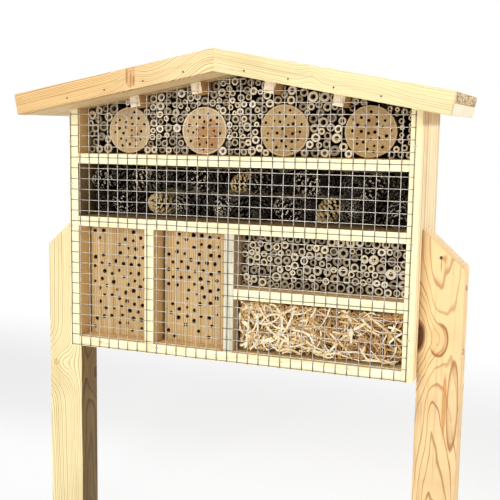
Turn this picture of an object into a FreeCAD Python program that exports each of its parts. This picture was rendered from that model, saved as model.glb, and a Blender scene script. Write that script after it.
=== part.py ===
"""Insect hotel: a gabled wooden case with nesting fillings behind wire mesh, held by two posts.

All lengths are in millimetres. X runs to the right of the front view, Y to the back and Z up.
The origin lies on the ground, midway between the feet of the two posts.
"""
import FreeCAD, Part
import math
import os

# Case: boards and the heights and widths of its compartments.
case_width = 622.0
board_t = 18.0
side_front_depth = 96.0
side_rear_depth = 62.0
back_panel_t = 16.0
lower_zone_height = 203.0
cone_bay_height = 94.0
top_bay_height = 76.0
block_bay_width = 132.0
straw_bay_height = 92.5

# Roof: two slopes, each of two layers, with a fascia across the front.
roof_pitch = 10.6
roof_slope_length = 375.0
roof_board_t = 18.0
roof_cover_t = 17.0
roof_front_overhang = 66.0
roof_front_board_depth = 115.0
roof_rear_board_depth = 135.0
fascia_t = 18.0
batten_size = 19.0
batten_inner_offset = 66.0
batten_outer_offset = 181.0

# Posts, screwed to the outside of the side walls and bevelled on top.
post_width = 68.0
post_depth = 58.0
post_set_back = 37.0
post_below_case = 358.0
post_above_case_bottom = 242.0
post_bevel_drop = 62.0

# Wood screws through the posts, and nails through the fascia.
screw_length = 80.0
screw_shank_d = 5.0
screw_head_d = 10.0
screw_head_t = 1.6
screw_low_height = 45.0
screw_high_height = 148.0
nail_length = 45.0
nail_shank_d = 1.8
nail_head_d = 3.2
nail_head_t = 0.8
nail_first_offset = 52.0
nail_pitch = 72.0
nails_per_fascia = 4
fastener_clearance = 0.1

# Welded mesh in front of the case.
mesh_cell = 19.0
wire_d = 1.2
mesh_left_inset = 3.5
mesh_right_inset = 10.5
mesh_bottom_inset = 2.0
mesh_stub = 1.0
mesh_roof_gap = 3.0
staple_crown = 6.4
staple_wire = 1.0
staple_first_row = 3
staple_row_step = 4
staple_column_step = 6

# Fillings.
fill_recess = 38.0
fill_gap = 0.3
log_left_clearance = 43.0
log_right_clearance = 27.5
log_rise_1 = 6.0
log_rise_2 = 7.0
log_rise_3 = 10.0
log_rise_4 = 9.0
log_sides = 24
log_hole_d = 5.0
log_hole_depth = 80.0
log_hole_count = 16
log_hole_edge = 7.0
block_side_gap = 1.0
block_top_gap = 2.0
block_hole_d = 5.5
block_hole_depth = 90.0
block_hole_pitch_x = 24.0
block_hole_pitch_z = 24.0
block_hole_edge = 12.0
cane_width = 17.0
cane_bore_share = (0.42, 0.55, 0.48, 0.6, 0.36)
cane_bore_depth = 70.0
cone_width = 44.0
cone_length = 78.0
cone_layers = 2
straw_recess = 14.0
straw_top_gap = 3.0
straw_chamfer = 9.0

# Places that follow from the sizes above.
case_depth = side_front_depth + side_rear_depth + back_panel_t
inner_depth = case_depth - back_panel_t
front_y = -(post_set_back + post_depth / 2)
half_width = case_width / 2
inner_half = half_width - board_t
slope = math.tan(math.radians(roof_pitch))
case_z = post_below_case
wall_height = lower_zone_height + cone_bay_height + top_bay_height + 3 * board_t
shelf_middle_z = case_z + board_t + lower_zone_height
shelf_upper_z = shelf_middle_z + board_t + cone_bay_height
top_bay_z = shelf_upper_z + board_t
ridge_z = case_z + wall_height + slope * half_width
divider_left_x = -inner_half + block_bay_width
divider_right_x = divider_left_x + board_t + block_bay_width
shelf_lower_z = case_z + board_t + straw_bay_height
mesh_left = -half_width + mesh_left_inset
mesh_columns = int(round((case_width - mesh_left_inset - mesh_right_inset) / mesh_cell))
mesh_right = mesh_left + mesh_columns * mesh_cell
mesh_bottom = case_z + mesh_bottom_inset
hexagon_radius_factor = 1 / math.cos(math.pi / 6)


def roof_under(x):
    """Height of the roof's underside at the distance x from the ridge."""
    return ridge_z - slope * abs(x)


def board(x0, x1, y0, y1, z0, z1):
    """Rectangular board; y is counted from the case's front."""
    corner = FreeCAD.Vector(x0, front_y + y0, z0)
    return Part.makeBox(x1 - x0, y1 - y0, z1 - z0, corner)


def prism(outline, y0, y1):
    """Extrude an outline of (x, z) points from depth y0 to depth y1 behind the case's front."""
    points = [FreeCAD.Vector(x, front_y + y0, z) for x, z in outline]
    face = Part.Face(Part.makePolygon(points + points[:1]))
    return face.extrude(FreeCAD.Vector(0, y1 - y0, 0))


def polygon(x, z, width, sides, turn):
    """Corners of a regular polygon, its width measured across the flats."""
    radius = width / 2 / math.cos(math.pi / sides)
    angles = [math.radians(turn) + 2 * math.pi * n / sides for n in range(sides)]
    return [(x + radius * math.cos(a), z + radius * math.sin(a)) for a in angles]


def hexagon(x, z, width, turn=30.0):
    """Corners of a hexagon with upright flats, or with level ones if turn is 0."""
    return polygon(x, z, width, 6, turn)


def faceted(sections):
    """Closed solid with flat faces between outlines of as many (x, z) points, one per depth y."""
    rings = [[FreeCAD.Vector(x, front_y + y, z) for x, z in outline] for y, outline in sections]
    faces = [Part.Face(Part.makePolygon(ring + ring[:1])) for ring in (rings[0], rings[-1])]
    for ring, after in zip(rings, rings[1:]):
        for n, corner in enumerate(ring):
            m = (n + 1) % len(ring)
            edge_loop = [corner, ring[m], after[m], after[n], corner]
            faces.append(Part.Face(Part.makePolygon(edge_loop)))
    return Part.Solid(Part.Shell(faces))


def mirrored(shape):
    """Copy of a shape on the other side of the ridge's plane."""
    return shape.mirror(FreeCAD.Vector(0, 0, 0), FreeCAD.Vector(1, 0, 0))


# ---------------------------------------------------------------- posts and fasteners

def rod(x0, x1, z, width):
    """Six-sided rod along X in the middle of the posts' depth, its width across the flats."""
    y = front_y + post_set_back + post_depth / 2
    points = [FreeCAD.Vector(x0, y + a, z + b) for a, b in hexagon(0, 0, width)]
    face = Part.Face(Part.makePolygon(points + points[:1]))
    return face.extrude(FreeCAD.Vector(x1 - x0, 0, 0))


def post_screw(z):
    """Screw driven through the right post into the side wall, its head on the post's outer face."""
    outer = half_width + post_width
    shank = rod(outer - screw_length, outer, z, screw_shank_d)
    head = rod(outer, outer + screw_head_t, z, screw_head_d)
    return shank.fuse(head).removeSplitter()


def screw_holes():
    """Holes of the right post's screws, through the post and blind in the side wall."""
    outer = half_width + post_width
    width = screw_shank_d + 2 * fastener_clearance
    tip = outer - screw_length - fastener_clearance
    return Part.makeCompound([rod(tip, outer, z, width) for z in screw_heights()])


def screw_heights():
    """Heights of the screws of one post."""
    return [case_z + screw_low_height, case_z + screw_high_height]


def post():
    """Right post: bevelled top falling outwards, drilled for its screws."""
    outer = half_width + post_width
    inner_top = case_z + post_above_case_bottom
    outline = [
        (half_width, 0),
        (outer, 0),
        (outer, inner_top - post_bevel_drop),
        (half_width, inner_top),
    ]
    body = prism(outline, post_set_back, post_set_back + post_depth)
    return body.cut(screw_holes())


def post_screws():
    """The screws of both posts."""
    right = [post_screw(z) for z in screw_heights()]
    return Part.makeCompound(right + [mirrored(screw) for screw in right])


# ---------------------------------------------------------------- case

def side_wall(y0, y1):
    """Board of the right side wall, its top cut to the slope of the roof."""
    outline = [
        (inner_half, case_z),
        (half_width, case_z),
        (half_width, roof_under(half_width)),
        (inner_half, roof_under(inner_half)),
    ]
    return prism(outline, y0, y1).cut(screw_holes())


def back_panel():
    """Gabled panel that closes the case behind the side walls."""
    outline = [
        (-half_width, case_z),
        (half_width, case_z),
        (half_width, roof_under(half_width)),
        (0, ridge_z),
        (-half_width, roof_under(half_width)),
    ]
    return prism(outline, inner_depth, case_depth)


def full_shelf(z):
    """Shelf across the whole case, flush with its front."""
    return board(-inner_half, inner_half, 0, inner_depth, z, z + board_t)


def divider(x):
    """Upright board between the bottom board and the middle shelf."""
    return board(x, x + board_t, 0, inner_depth, case_z + board_t, shelf_middle_z)


# ---------------------------------------------------------------- roof

def roof_layer(low, high):
    """Outline of the right slope between two heights square to the slope."""
    angle = math.radians(roof_pitch)
    rise = roof_board_t + roof_cover_t
    eave_x = roof_slope_length * math.cos(angle)
    eave_z = ridge_z + rise / math.cos(angle) - roof_slope_length * math.sin(angle)

    def eave(height):
        drop = rise - height
        return (eave_x - drop * math.sin(angle), eave_z - drop * math.cos(angle))

    def ridge(height):
        return (0, ridge_z + height / math.cos(angle))

    return [ridge(low), eave(low), eave(high), ridge(high)]


def roof_board(low, high, y0, depth):
    """Board of the right slope; its ridge end is cut upright and meets the other slope."""
    start = y0 - roof_front_overhang
    return prism(roof_layer(low, high), start, start + depth)


def fascia():
    """Right fascia, as high as both roof layers, nailed to the edge of the lower one."""
    front = -roof_front_overhang - fascia_t
    plate = prism(roof_layer(0, roof_board_t + roof_cover_t), front, -roof_front_overhang)
    return plate.cut(nail_group(fastener_clearance))


def nail_group(grow=0.0):
    """Nails of the right fascia; grow widens them for their holes."""
    angle = math.radians(roof_pitch)
    front = -roof_front_overhang - fascia_t
    head_side = nail_head_d / 2 * math.sqrt(math.pi)
    shank_side = nail_shank_d / 2 * math.sqrt(math.pi) + 2 * grow
    nails = []
    for n in range(nails_per_fascia):
        along = nail_first_offset + nail_pitch * n
        x = along * math.cos(angle)
        z = roof_under(x) + roof_board_t / 2 / math.cos(angle)
        shank = prism(hexagon(x, z, shank_side), front, front + nail_length + grow)
        if not grow:
            head = prism(hexagon(x, z, head_side), front - nail_head_t, front)
            shank = shank.fuse(head).removeSplitter()
        nails.append(shank)
    return Part.makeCompound(nails)


def nailed_roof_board():
    """Front board of the right slope's lower layer, with the holes of the fascia's nails."""
    plain = roof_board(0, roof_board_t, 0, roof_front_board_depth)
    return plain.cut(nail_group(fastener_clearance))


def batten(offset):
    """Batten under the right slope, square to it, from the case's front to the back panel."""
    angle = math.radians(roof_pitch)
    along = FreeCAD.Vector(math.cos(angle), 0, -math.sin(angle))
    down = FreeCAD.Vector(-math.sin(angle), 0, -math.cos(angle))
    top = FreeCAD.Vector(offset, 0, roof_under(offset))
    left = top - along * (batten_size / 2)
    right = top + along * (batten_size / 2)
    corners = [left, right, right + down * batten_size, left + down * batten_size]
    return prism([(corner.x, corner.z) for corner in corners], 0, inner_depth)


# ---------------------------------------------------------------- mesh

def wire(start, end, across):
    """Six-sided wire from start to end, with two of its flats facing the front and back."""
    axis = end - start
    axis.normalize()
    radius = wire_d / 2 * hexagon_radius_factor
    front = FreeCAD.Vector(0, -1, 0)
    points = []
    for n in range(6):
        angle = math.radians(30 + 60 * n)
        points.append(start + across * (radius * math.cos(angle)) + front * (radius * math.sin(angle)))
    face = Part.Face(Part.makePolygon(points + points[:1]))
    return face.extrude(end - start)


def upright_wires():
    """Upright wires, one layer of wire in front of the case; each ends under the roof."""
    across = FreeCAD.Vector(1, 0, 0)
    y = front_y - 1.5 * wire_d
    wires = []
    for n in range(mesh_columns + 1):
        x = mesh_left + n * mesh_cell
        top = roof_under(abs(x) + wire_d) - mesh_roof_gap
        start = FreeCAD.Vector(x, y, mesh_bottom - mesh_stub)
        wires.append(wire(start, FreeCAD.Vector(x, y, top), across))
    return Part.makeCompound(wires)


def cross_wires():
    """Level wires against the case's front, shortened where the roof comes down."""
    across = FreeCAD.Vector(0, 0, 1)
    y = front_y - 0.5 * wire_d
    wires = []
    count = int((ridge_z - mesh_roof_gap - wire_d - mesh_bottom) / mesh_cell) + 1
    for n in range(count):
        z = mesh_bottom + n * mesh_cell
        reach = (ridge_z - mesh_roof_gap - wire_d - z) / slope
        left = max(mesh_left - mesh_stub, -reach)
        right = min(mesh_right + mesh_stub, reach)
        if right - left > mesh_cell:
            wires.append(wire(FreeCAD.Vector(left, y, z), FreeCAD.Vector(right, y, z), across))
    return Part.makeCompound(wires)


def staple(x, z):
    """Staple over an upright wire: its crown lies on the wire and its two legs meet the board."""
    half = staple_crown / 2
    thick = staple_wire / 2
    lift = 2 * wire_d
    crown = board(x - half, x + half, -lift - staple_wire, -lift, z - thick, z + thick)
    left = board(x - half, x - half + staple_wire, -lift, 0, z - thick, z + thick)
    right = board(x + half - staple_wire, x + half, -lift, 0, z - thick, z + thick)
    return crown.multiFuse([left, right]).removeSplitter()


def cell_middle(row):
    """Height of the middle of a row of mesh cells."""
    return mesh_bottom + (row + 0.5) * mesh_cell


def staples():
    """Staples along both upright edges of the mesh and along the bottom board."""
    group = []
    top_row = int((wall_height - mesh_bottom_inset) / mesh_cell) - 1
    for row in range(staple_first_row, top_row, staple_row_step):
        group.append(staple(mesh_left, cell_middle(row)))
        group.append(staple(mesh_right, cell_middle(row)))
    for column in range(staple_column_step // 2, mesh_columns, staple_column_step):
        group.append(staple(mesh_left + column * mesh_cell, cell_middle(0)))
    return Part.makeCompound(group)


# ---------------------------------------------------------------- fillings

def pocket(x, z, width, depth):
    """Six-sided nesting hole, bored from the face of a filling."""
    return prism(hexagon(x, z, width), fill_recess, fill_recess + depth)


def log_places():
    """Centre (x, z) and radius of each log slice; they stand evenly between the side walls."""
    rises = (log_rise_1, log_rise_2, log_rise_3, log_rise_4)
    radii = [(top_bay_height + rise) / 2 for rise in rises]
    first_x = -inner_half + log_left_clearance + radii[0]
    last_x = inner_half - log_right_clearance - radii[-1]
    pitch = (last_x - first_x) / (len(radii) - 1)
    places = []
    for n, radius in enumerate(radii):
        places.append((first_x + n * pitch, top_bay_z + fill_gap + radius, radius))
    return places


def log_slice(x, z, radius):
    """Log slice with nesting holes spread evenly over its face along a golden spiral."""
    outline = polygon(x, z, 2 * radius, log_sides, 180 / log_sides)
    log = prism(outline, fill_recess, inner_depth - fill_gap)
    holes = []
    for n in range(log_hole_count):
        reach = (radius - log_hole_edge) * math.sqrt((n + 0.5) / log_hole_count)
        angle = n * math.pi * (3 - math.sqrt(5))
        hole_x = x + reach * math.cos(angle)
        hole_z = z + reach * math.sin(angle)
        holes.append(pocket(hole_x, hole_z, log_hole_d, log_hole_depth))
    return log.cut(Part.makeCompound(holes))


def drilled_block(bay_left):
    """Wooden block with staggered nesting holes; it stands in the bay right of bay_left."""
    x0 = bay_left + block_side_gap
    x1 = bay_left + block_bay_width - block_side_gap
    z0 = case_z + board_t
    z1 = shelf_middle_z - block_top_gap
    block = board(x0, x1, fill_recess, inner_depth - fill_gap, z0, z1)
    columns = int((x1 - x0 - 2 * block_hole_edge) / block_hole_pitch_x) + 1
    rows = int((z1 - z0 - 2 * block_hole_edge) / block_hole_pitch_z) + 1
    first_x = (x0 + x1 - (columns - 1) * block_hole_pitch_x) / 2
    first_z = (z0 + z1 - (rows - 1) * block_hole_pitch_z) / 2
    holes = []
    for row in range(rows):
        shift = row % 2
        for column in range(columns - shift):
            x = first_x + (column + shift / 2) * block_hole_pitch_x
            z = first_z + row * block_hole_pitch_z
            holes.append(pocket(x, z, block_hole_d, block_hole_depth))
    return block.cut(Part.makeCompound(holes))


def cane(x, z, bore_share):
    """Six-sided cane with a bore from its front end; its rear end is a closed node."""
    body = prism(hexagon(x, z, cane_width), fill_recess, inner_depth - fill_gap)
    return body.cut(pocket(x, z, cane_width * bore_share, cane_bore_depth))


def clear_of_logs(x, z):
    """Whether a cane at (x, z) keeps its gap to every log slice."""
    corners = hexagon(x, z, cane_width)
    for log_x, log_z, flat_radius in log_places():
        radius = flat_radius / math.cos(math.pi / log_sides)
        for (ax, az), (bx, bz) in zip(corners, corners[1:] + corners[:1]):
            along = ((log_x - ax) * (bx - ax) + (log_z - az) * (bz - az))
            share = min(1.0, max(0.0, along / ((bx - ax) ** 2 + (bz - az) ** 2)))
            near_x = ax + share * (bx - ax)
            near_z = az + share * (bz - az)
            if math.hypot(log_x - near_x, log_z - near_z) < radius + fill_gap:
                return False
    return True


def clear_of_roof(x, z):
    """Whether a cane at (x, z) keeps its gap to the roof's underside and the battens."""
    for corner_x, corner_z in hexagon(x, z, cane_width):
        room = roof_under(corner_x) - corner_z
        reach = batten_size / 2 * hexagon_radius_factor + fill_gap
        for offset in (batten_inner_offset, batten_outer_offset):
            if abs(abs(corner_x) - offset) < reach:
                room -= batten_size * hexagon_radius_factor
        if room < fill_gap:
            return False
    return True


def cane_bundle(x0, x1, z0, z1, fits):
    """Canes stacked in staggered rows between x0 and x1, from z0 up to z1, wherever fits allows."""
    pitch_x = cane_width + fill_gap
    pitch_z = cane_width * hexagon_radius_factor * 0.75 + fill_gap
    radius = cane_width / 2 * hexagon_radius_factor
    columns = int((x1 - x0) / pitch_x)
    spare = x1 - x0 - columns * pitch_x
    rows = int((z1 - z0 - fill_gap - 2 * radius) / pitch_z) + 1
    canes = []
    for row in range(rows):
        shift = row % 2
        z = z0 + fill_gap + radius + row * pitch_z
        for column in range(columns - shift):
            x = x0 + spare / 2 + (column + (1 + shift) / 2) * pitch_x
            if fits(x, z):
                share = cane_bore_share[(2 * column + 3 * row) % len(cane_bore_share)]
                canes.append(cane(x, z, share))
    return Part.makeCompound(canes)


def upper_canes():
    """Canes around the log slices under the roof."""
    def fits(x, z):
        return clear_of_logs(x, z) and clear_of_roof(x, z)

    return cane_bundle(-inner_half, inner_half, top_bay_z, ridge_z, fits)


def lower_canes():
    """Canes in the bay above the straw."""
    bay_z = shelf_lower_z + board_t
    return cane_bundle(divider_right_x + board_t, inner_half, bay_z, shelf_middle_z, lambda x, z: True)


def pine_cone(x, z):
    """Pine cone lying along Y: a six-sided spindle, widest near its base."""
    stations = ((0.0, 0.35), (0.3, 1.0), (0.7, 0.75), (1.0, 0.25))
    sections = []
    for share, width in stations:
        outline = hexagon(x, z, cone_width * width, 0.0)
        sections.append((fill_recess + share * cone_length, outline))
    return faceted(sections)


def pine_cones():
    """Layers of pine cones on the middle shelf."""
    pitch = cone_width * hexagon_radius_factor + fill_gap
    columns = int(2 * inner_half / pitch)
    first_x = -(columns - 1) * pitch / 2
    cones = []
    for layer in range(cone_layers):
        z = shelf_middle_z + board_t + fill_gap + (layer + 0.5) * (cone_width + fill_gap)
        for column in range(columns):
            cones.append(pine_cone(first_x + column * pitch, z))
    return Part.makeCompound(cones)


def straw():
    """Straw packed into the lower right bay, its face rounded off towards the mesh."""
    x0 = divider_right_x + board_t + fill_gap
    x1 = inner_half - fill_gap
    z0 = case_z + board_t + fill_gap
    z1 = shelf_lower_z - straw_top_gap
    sections = []
    middle = straw_recess + straw_chamfer
    for y, inset in ((straw_recess, straw_chamfer), (middle, 0.0), (inner_depth - fill_gap, 0.0)):
        low, high = z0 + inset, z1 - inset
        left, right = x0 + inset, x1 - inset
        sections.append((y, [(left, low), (right, low), (right, high), (left, high)]))
    return faceted(sections)


# ---------------------------------------------------------------- assembly

def sub_parts():
    """Every sub-part of the insect hotel by its name."""
    top = roof_board_t + roof_cover_t
    rear = roof_front_board_depth
    parts = {
        "bottom_board": full_shelf(case_z),
        "shelf_middle": full_shelf(shelf_middle_z),
        "shelf_upper": full_shelf(shelf_upper_z),
        "shelf_lower": board(
            divider_right_x + board_t, inner_half, 0, inner_depth, shelf_lower_z, shelf_lower_z + board_t
        ),
        "divider_left": divider(divider_left_x),
        "divider_right": divider(divider_right_x),
        "back_panel": back_panel(),
        "post_screws": post_screws(),
        "mesh_upright_wires": upright_wires(),
        "mesh_cross_wires": cross_wires(),
        "mesh_staples": staples(),
        "drilled_block_left": drilled_block(-inner_half),
        "drilled_block_right": drilled_block(divider_left_x + board_t),
        "canes_upper": upper_canes(),
        "canes_lower": lower_canes(),
        "pine_cones": pine_cones(),
        "straw": straw(),
    }
    right_hand = {
        "post": post(),
        "side_wall_front": side_wall(0, side_front_depth),
        "side_wall_rear": side_wall(side_front_depth, inner_depth),
        "roof_board_front": nailed_roof_board(),
        "roof_board_rear": roof_board(0, roof_board_t, rear, roof_rear_board_depth),
        "roof_cover_front": roof_board(roof_board_t, top, 0, roof_front_board_depth),
        "roof_cover_rear": roof_board(roof_board_t, top, rear, roof_rear_board_depth),
        "roof_batten_inner": batten(batten_inner_offset),
        "roof_batten_outer": batten(batten_outer_offset),
        "fascia": fascia(),
        "fascia_nails": nail_group(),
    }
    for name, shape in right_hand.items():
        parts[name + "_right"] = shape
        parts[name + "_left"] = mirrored(shape)
    for number, place in enumerate(log_places(), 1):
        parts["log_slice_%d" % number] = log_slice(*place)
    return parts


os.makedirs("parts", exist_ok=True)
for part_name, part_shape in sub_parts().items():
    part_shape.exportStep("parts/%s.step" % part_name)
    print(part_name, len(part_shape.Solids), "solids", part_shape.isValid(), round(part_shape.Volume))
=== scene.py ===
"""Insect hotel: a gabled wooden case on two posts, its bays filled behind welded wire mesh."""

import logging
import math
from collections.abc import Callable
from dataclasses import dataclass, field
from enum import Enum

import bmesh
import bpy
import numpy as np
from mathutils import Euler, Matrix, Vector


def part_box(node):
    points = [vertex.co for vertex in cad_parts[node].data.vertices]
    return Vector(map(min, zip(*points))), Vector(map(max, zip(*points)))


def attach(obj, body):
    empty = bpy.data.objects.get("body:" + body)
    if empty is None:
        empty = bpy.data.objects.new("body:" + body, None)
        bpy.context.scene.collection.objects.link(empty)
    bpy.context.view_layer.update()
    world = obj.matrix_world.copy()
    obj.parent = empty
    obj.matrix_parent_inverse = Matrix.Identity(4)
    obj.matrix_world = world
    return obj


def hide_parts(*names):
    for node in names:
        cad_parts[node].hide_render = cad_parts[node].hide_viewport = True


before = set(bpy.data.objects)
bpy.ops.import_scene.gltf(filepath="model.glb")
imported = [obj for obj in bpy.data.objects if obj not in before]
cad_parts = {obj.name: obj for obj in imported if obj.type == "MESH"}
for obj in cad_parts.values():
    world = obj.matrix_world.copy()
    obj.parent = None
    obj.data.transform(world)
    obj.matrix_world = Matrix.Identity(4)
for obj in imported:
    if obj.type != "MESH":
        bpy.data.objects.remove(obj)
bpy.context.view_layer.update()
LOG = logging.getLogger("insect_hotel")
GOLDEN_ANGLE = math.pi * (3 - math.sqrt(5))
GOLDEN_SHARE = (math.sqrt(5) - 1) / 2
ALONG_DEPTH = (math.radians(90), 0, 0)  # lays a rod along Y
Point = tuple[float, float, float]
Colour = tuple[float, float, float]
Piece = bpy.types.Object
Socket = bpy.types.NodeSocket
Array = np.ndarray
Chance = np.random.Generator


def srgb(red: float, green: float, blue: float) -> Colour:
    """Linear colour of an sRGB colour given as 0 to 255."""
    shares = [c / 255 for c in (red, green, blue)]
    return tuple(s / 12.92 if s <= 0.04045 else ((s + 0.055) / 1.055) ** 2.4 for s in shares)


def rgba(colour: Colour) -> tuple[float, float, float, float]:
    """The colour with full opacity."""
    return (*colour, 1.0)


# ---------------------------------------------------------------- bench work

def deselect() -> None:
    """Leave nothing selected."""
    for obj in bpy.context.selected_objects:
        obj.select_set(False)


def hold(obj: Piece) -> None:
    """Select this object alone and make it the active one."""
    deselect()
    obj.select_set(True)
    bpy.context.view_layer.objects.active = obj


def settle(obj: Piece, name: str) -> Piece:
    """Move the object's place, turn and size into its mesh, and name both."""
    hold(obj)
    bpy.ops.object.transform_apply(location=True, rotation=True, scale=True)
    obj.name = name
    obj.data.name = name
    return obj


def cube(name: str, middle: Point | Vector, size: Point | Vector) -> Piece:
    """Box of this size about its middle."""
    bpy.ops.mesh.primitive_cube_add(size=1.0, location=middle, scale=size)
    return settle(bpy.context.object, name)


def rod(name: str, sides: int, radius: float, length: float,
        middle: Point = (0, 0, 0), turn: Point = (0, 0, 0)) -> Piece:
    """Round rod along Z about its middle, then turned."""
    bpy.ops.mesh.primitive_cylinder_add(
        vertices=sides, radius=radius, depth=length, location=middle, rotation=turn)
    return settle(bpy.context.object, name)


def choose(obj: Piece, parts: str, test: Callable) -> None:
    """Enter edit mode with some of the object's parts selected.

    Args:
        obj: the active object.
        parts: "faces" or "edges".
        test: tells whether a part is selected.
    """
    bpy.ops.object.mode_set(mode="EDIT")
    bpy.ops.mesh.select_all(action="DESELECT")
    bm = bmesh.from_edit_mesh(obj.data)
    for part in getattr(bm, parts):
        part.select_set(test(part))
    bmesh.update_edit_mesh(obj.data)


def smooth(obj: Piece, angle: float) -> None:
    """Shade the object smooth over edges flatter than this angle in degrees."""
    hold(obj)
    bpy.ops.object.shade_smooth_by_angle(angle=math.radians(angle))


def use_modifiers(obj: Piece) -> None:
    """Apply every modifier of the object, in order."""
    hold(obj)
    for modifier in list(obj.modifiers):
        bpy.ops.object.modifier_apply(modifier=modifier.name)


def ease_edges(obj: Piece, width: float, segments: int = 2) -> None:
    """Round the object's sharp edges, this many metres wide, and shade it smooth between them."""
    bevel = obj.modifiers.new("ease", "BEVEL")
    bevel.width = width
    bevel.segments = segments
    bevel.limit_method = "ANGLE"
    bevel.angle_limit = math.radians(30)
    use_modifiers(obj)
    smooth(obj, 35)


def copy_of(obj: Piece, name: str) -> Piece:
    """Copy of an object with a mesh of its own."""
    twin = bpy.data.objects.new(name, obj.data.copy())
    bpy.context.scene.collection.objects.link(twin)
    return twin


def corners(obj: Piece) -> Array:
    """The object's vertices as an array of points."""
    points = np.empty(len(obj.data.vertices) * 3, np.float64)
    obj.data.vertices.foreach_get("co", points)
    return points.reshape(-1, 3)


def put_corners(obj: Piece, points: Array) -> None:
    """Give the object's vertices new places."""
    obj.data.vertices.foreach_set("co", points.astype(np.float32).ravel())
    obj.data.update()


def mark(obj: Piece, attribute: str, values: float | Array) -> None:
    """Give the object's vertices an attribute: one value for all, or one for each."""
    layers = obj.data.attributes
    layer = layers.get(attribute) or layers.new(attribute, "FLOAT", "POINT")
    layer.data.foreach_set("value", np.broadcast_to(values, len(obj.data.vertices)).astype(np.float32))


def join(pieces: list[Piece], name: str) -> Piece:
    """Join the pieces into one object of that name."""
    deselect()
    for piece in pieces:
        piece.select_set(True)
    bpy.context.view_layer.objects.active = pieces[0]
    bpy.ops.object.join()
    return settle(pieces[0], name)


def discard(obj: Piece) -> None:
    """Remove a helper object and its mesh."""
    mesh = obj.data
    bpy.data.objects.remove(obj)
    bpy.data.meshes.remove(mesh)


def bore(piece: Piece, cutters: Piece) -> None:
    """Take the cutters out of the piece."""
    boolean = piece.modifiers.new("bore", "BOOLEAN")
    boolean.operation = "DIFFERENCE"
    boolean.object = cutters
    boolean.solver = "EXACT"
    use_modifiers(piece)
    discard(cutters)
    smooth(piece, 35)


def node_copy(node: str) -> Piece:
    """Merged copy of a CAD node, with its flat faces made whole again."""
    twin = copy_of(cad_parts[node], node + "_copy")
    twin.data.materials.clear()
    hold(twin)
    bpy.ops.mesh.customdata_custom_splitnormals_clear()
    bpy.ops.object.mode_set(mode="EDIT")
    bpy.ops.mesh.select_all(action="SELECT")
    bpy.ops.mesh.remove_doubles(threshold=1e-5)
    bpy.ops.mesh.dissolve_limited(angle_limit=math.radians(0.5))
    bpy.ops.object.mode_set(mode="OBJECT")
    return twin


def round_of(node: str) -> tuple[float, float, float]:
    """Middle x, middle z and half height of a CAD node."""
    low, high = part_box(node)
    return (low.x + high.x) / 2, (low.z + high.z) / 2, (high.z - low.z) / 2


def crowding(places: Array, apart: Array | float) -> tuple[Array, Array]:
    """How neighbours press on each other.

    Args:
        places: the points.
        apart: the least distance between them, for all or for each pair.

    Returns:
        The push that parts each point from its neighbours, and its greatest overlap.
    """
    away = places[:, None] - places[None]
    distance = np.hypot(away[..., 0], away[..., 1]) + np.eye(len(places))
    over = np.maximum(apart - distance, 0)
    np.fill_diagonal(over, 0)
    return (away / distance[..., None] * over[..., None]).sum(1), over.max(1)


def hand_over(piece: Piece, slot: str, *nodes: str) -> None:
    """Let the piece ride on the hotel, stand for its CAD nodes and report it."""
    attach(piece, "root")
    if nodes:
        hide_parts(*nodes)
    LOG.info("%s: %d faces, for %s", piece.name, len(piece.data.polygons), ", ".join(nodes) or "no node")


# ---------------------------------------------------------------- shader work

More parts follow.
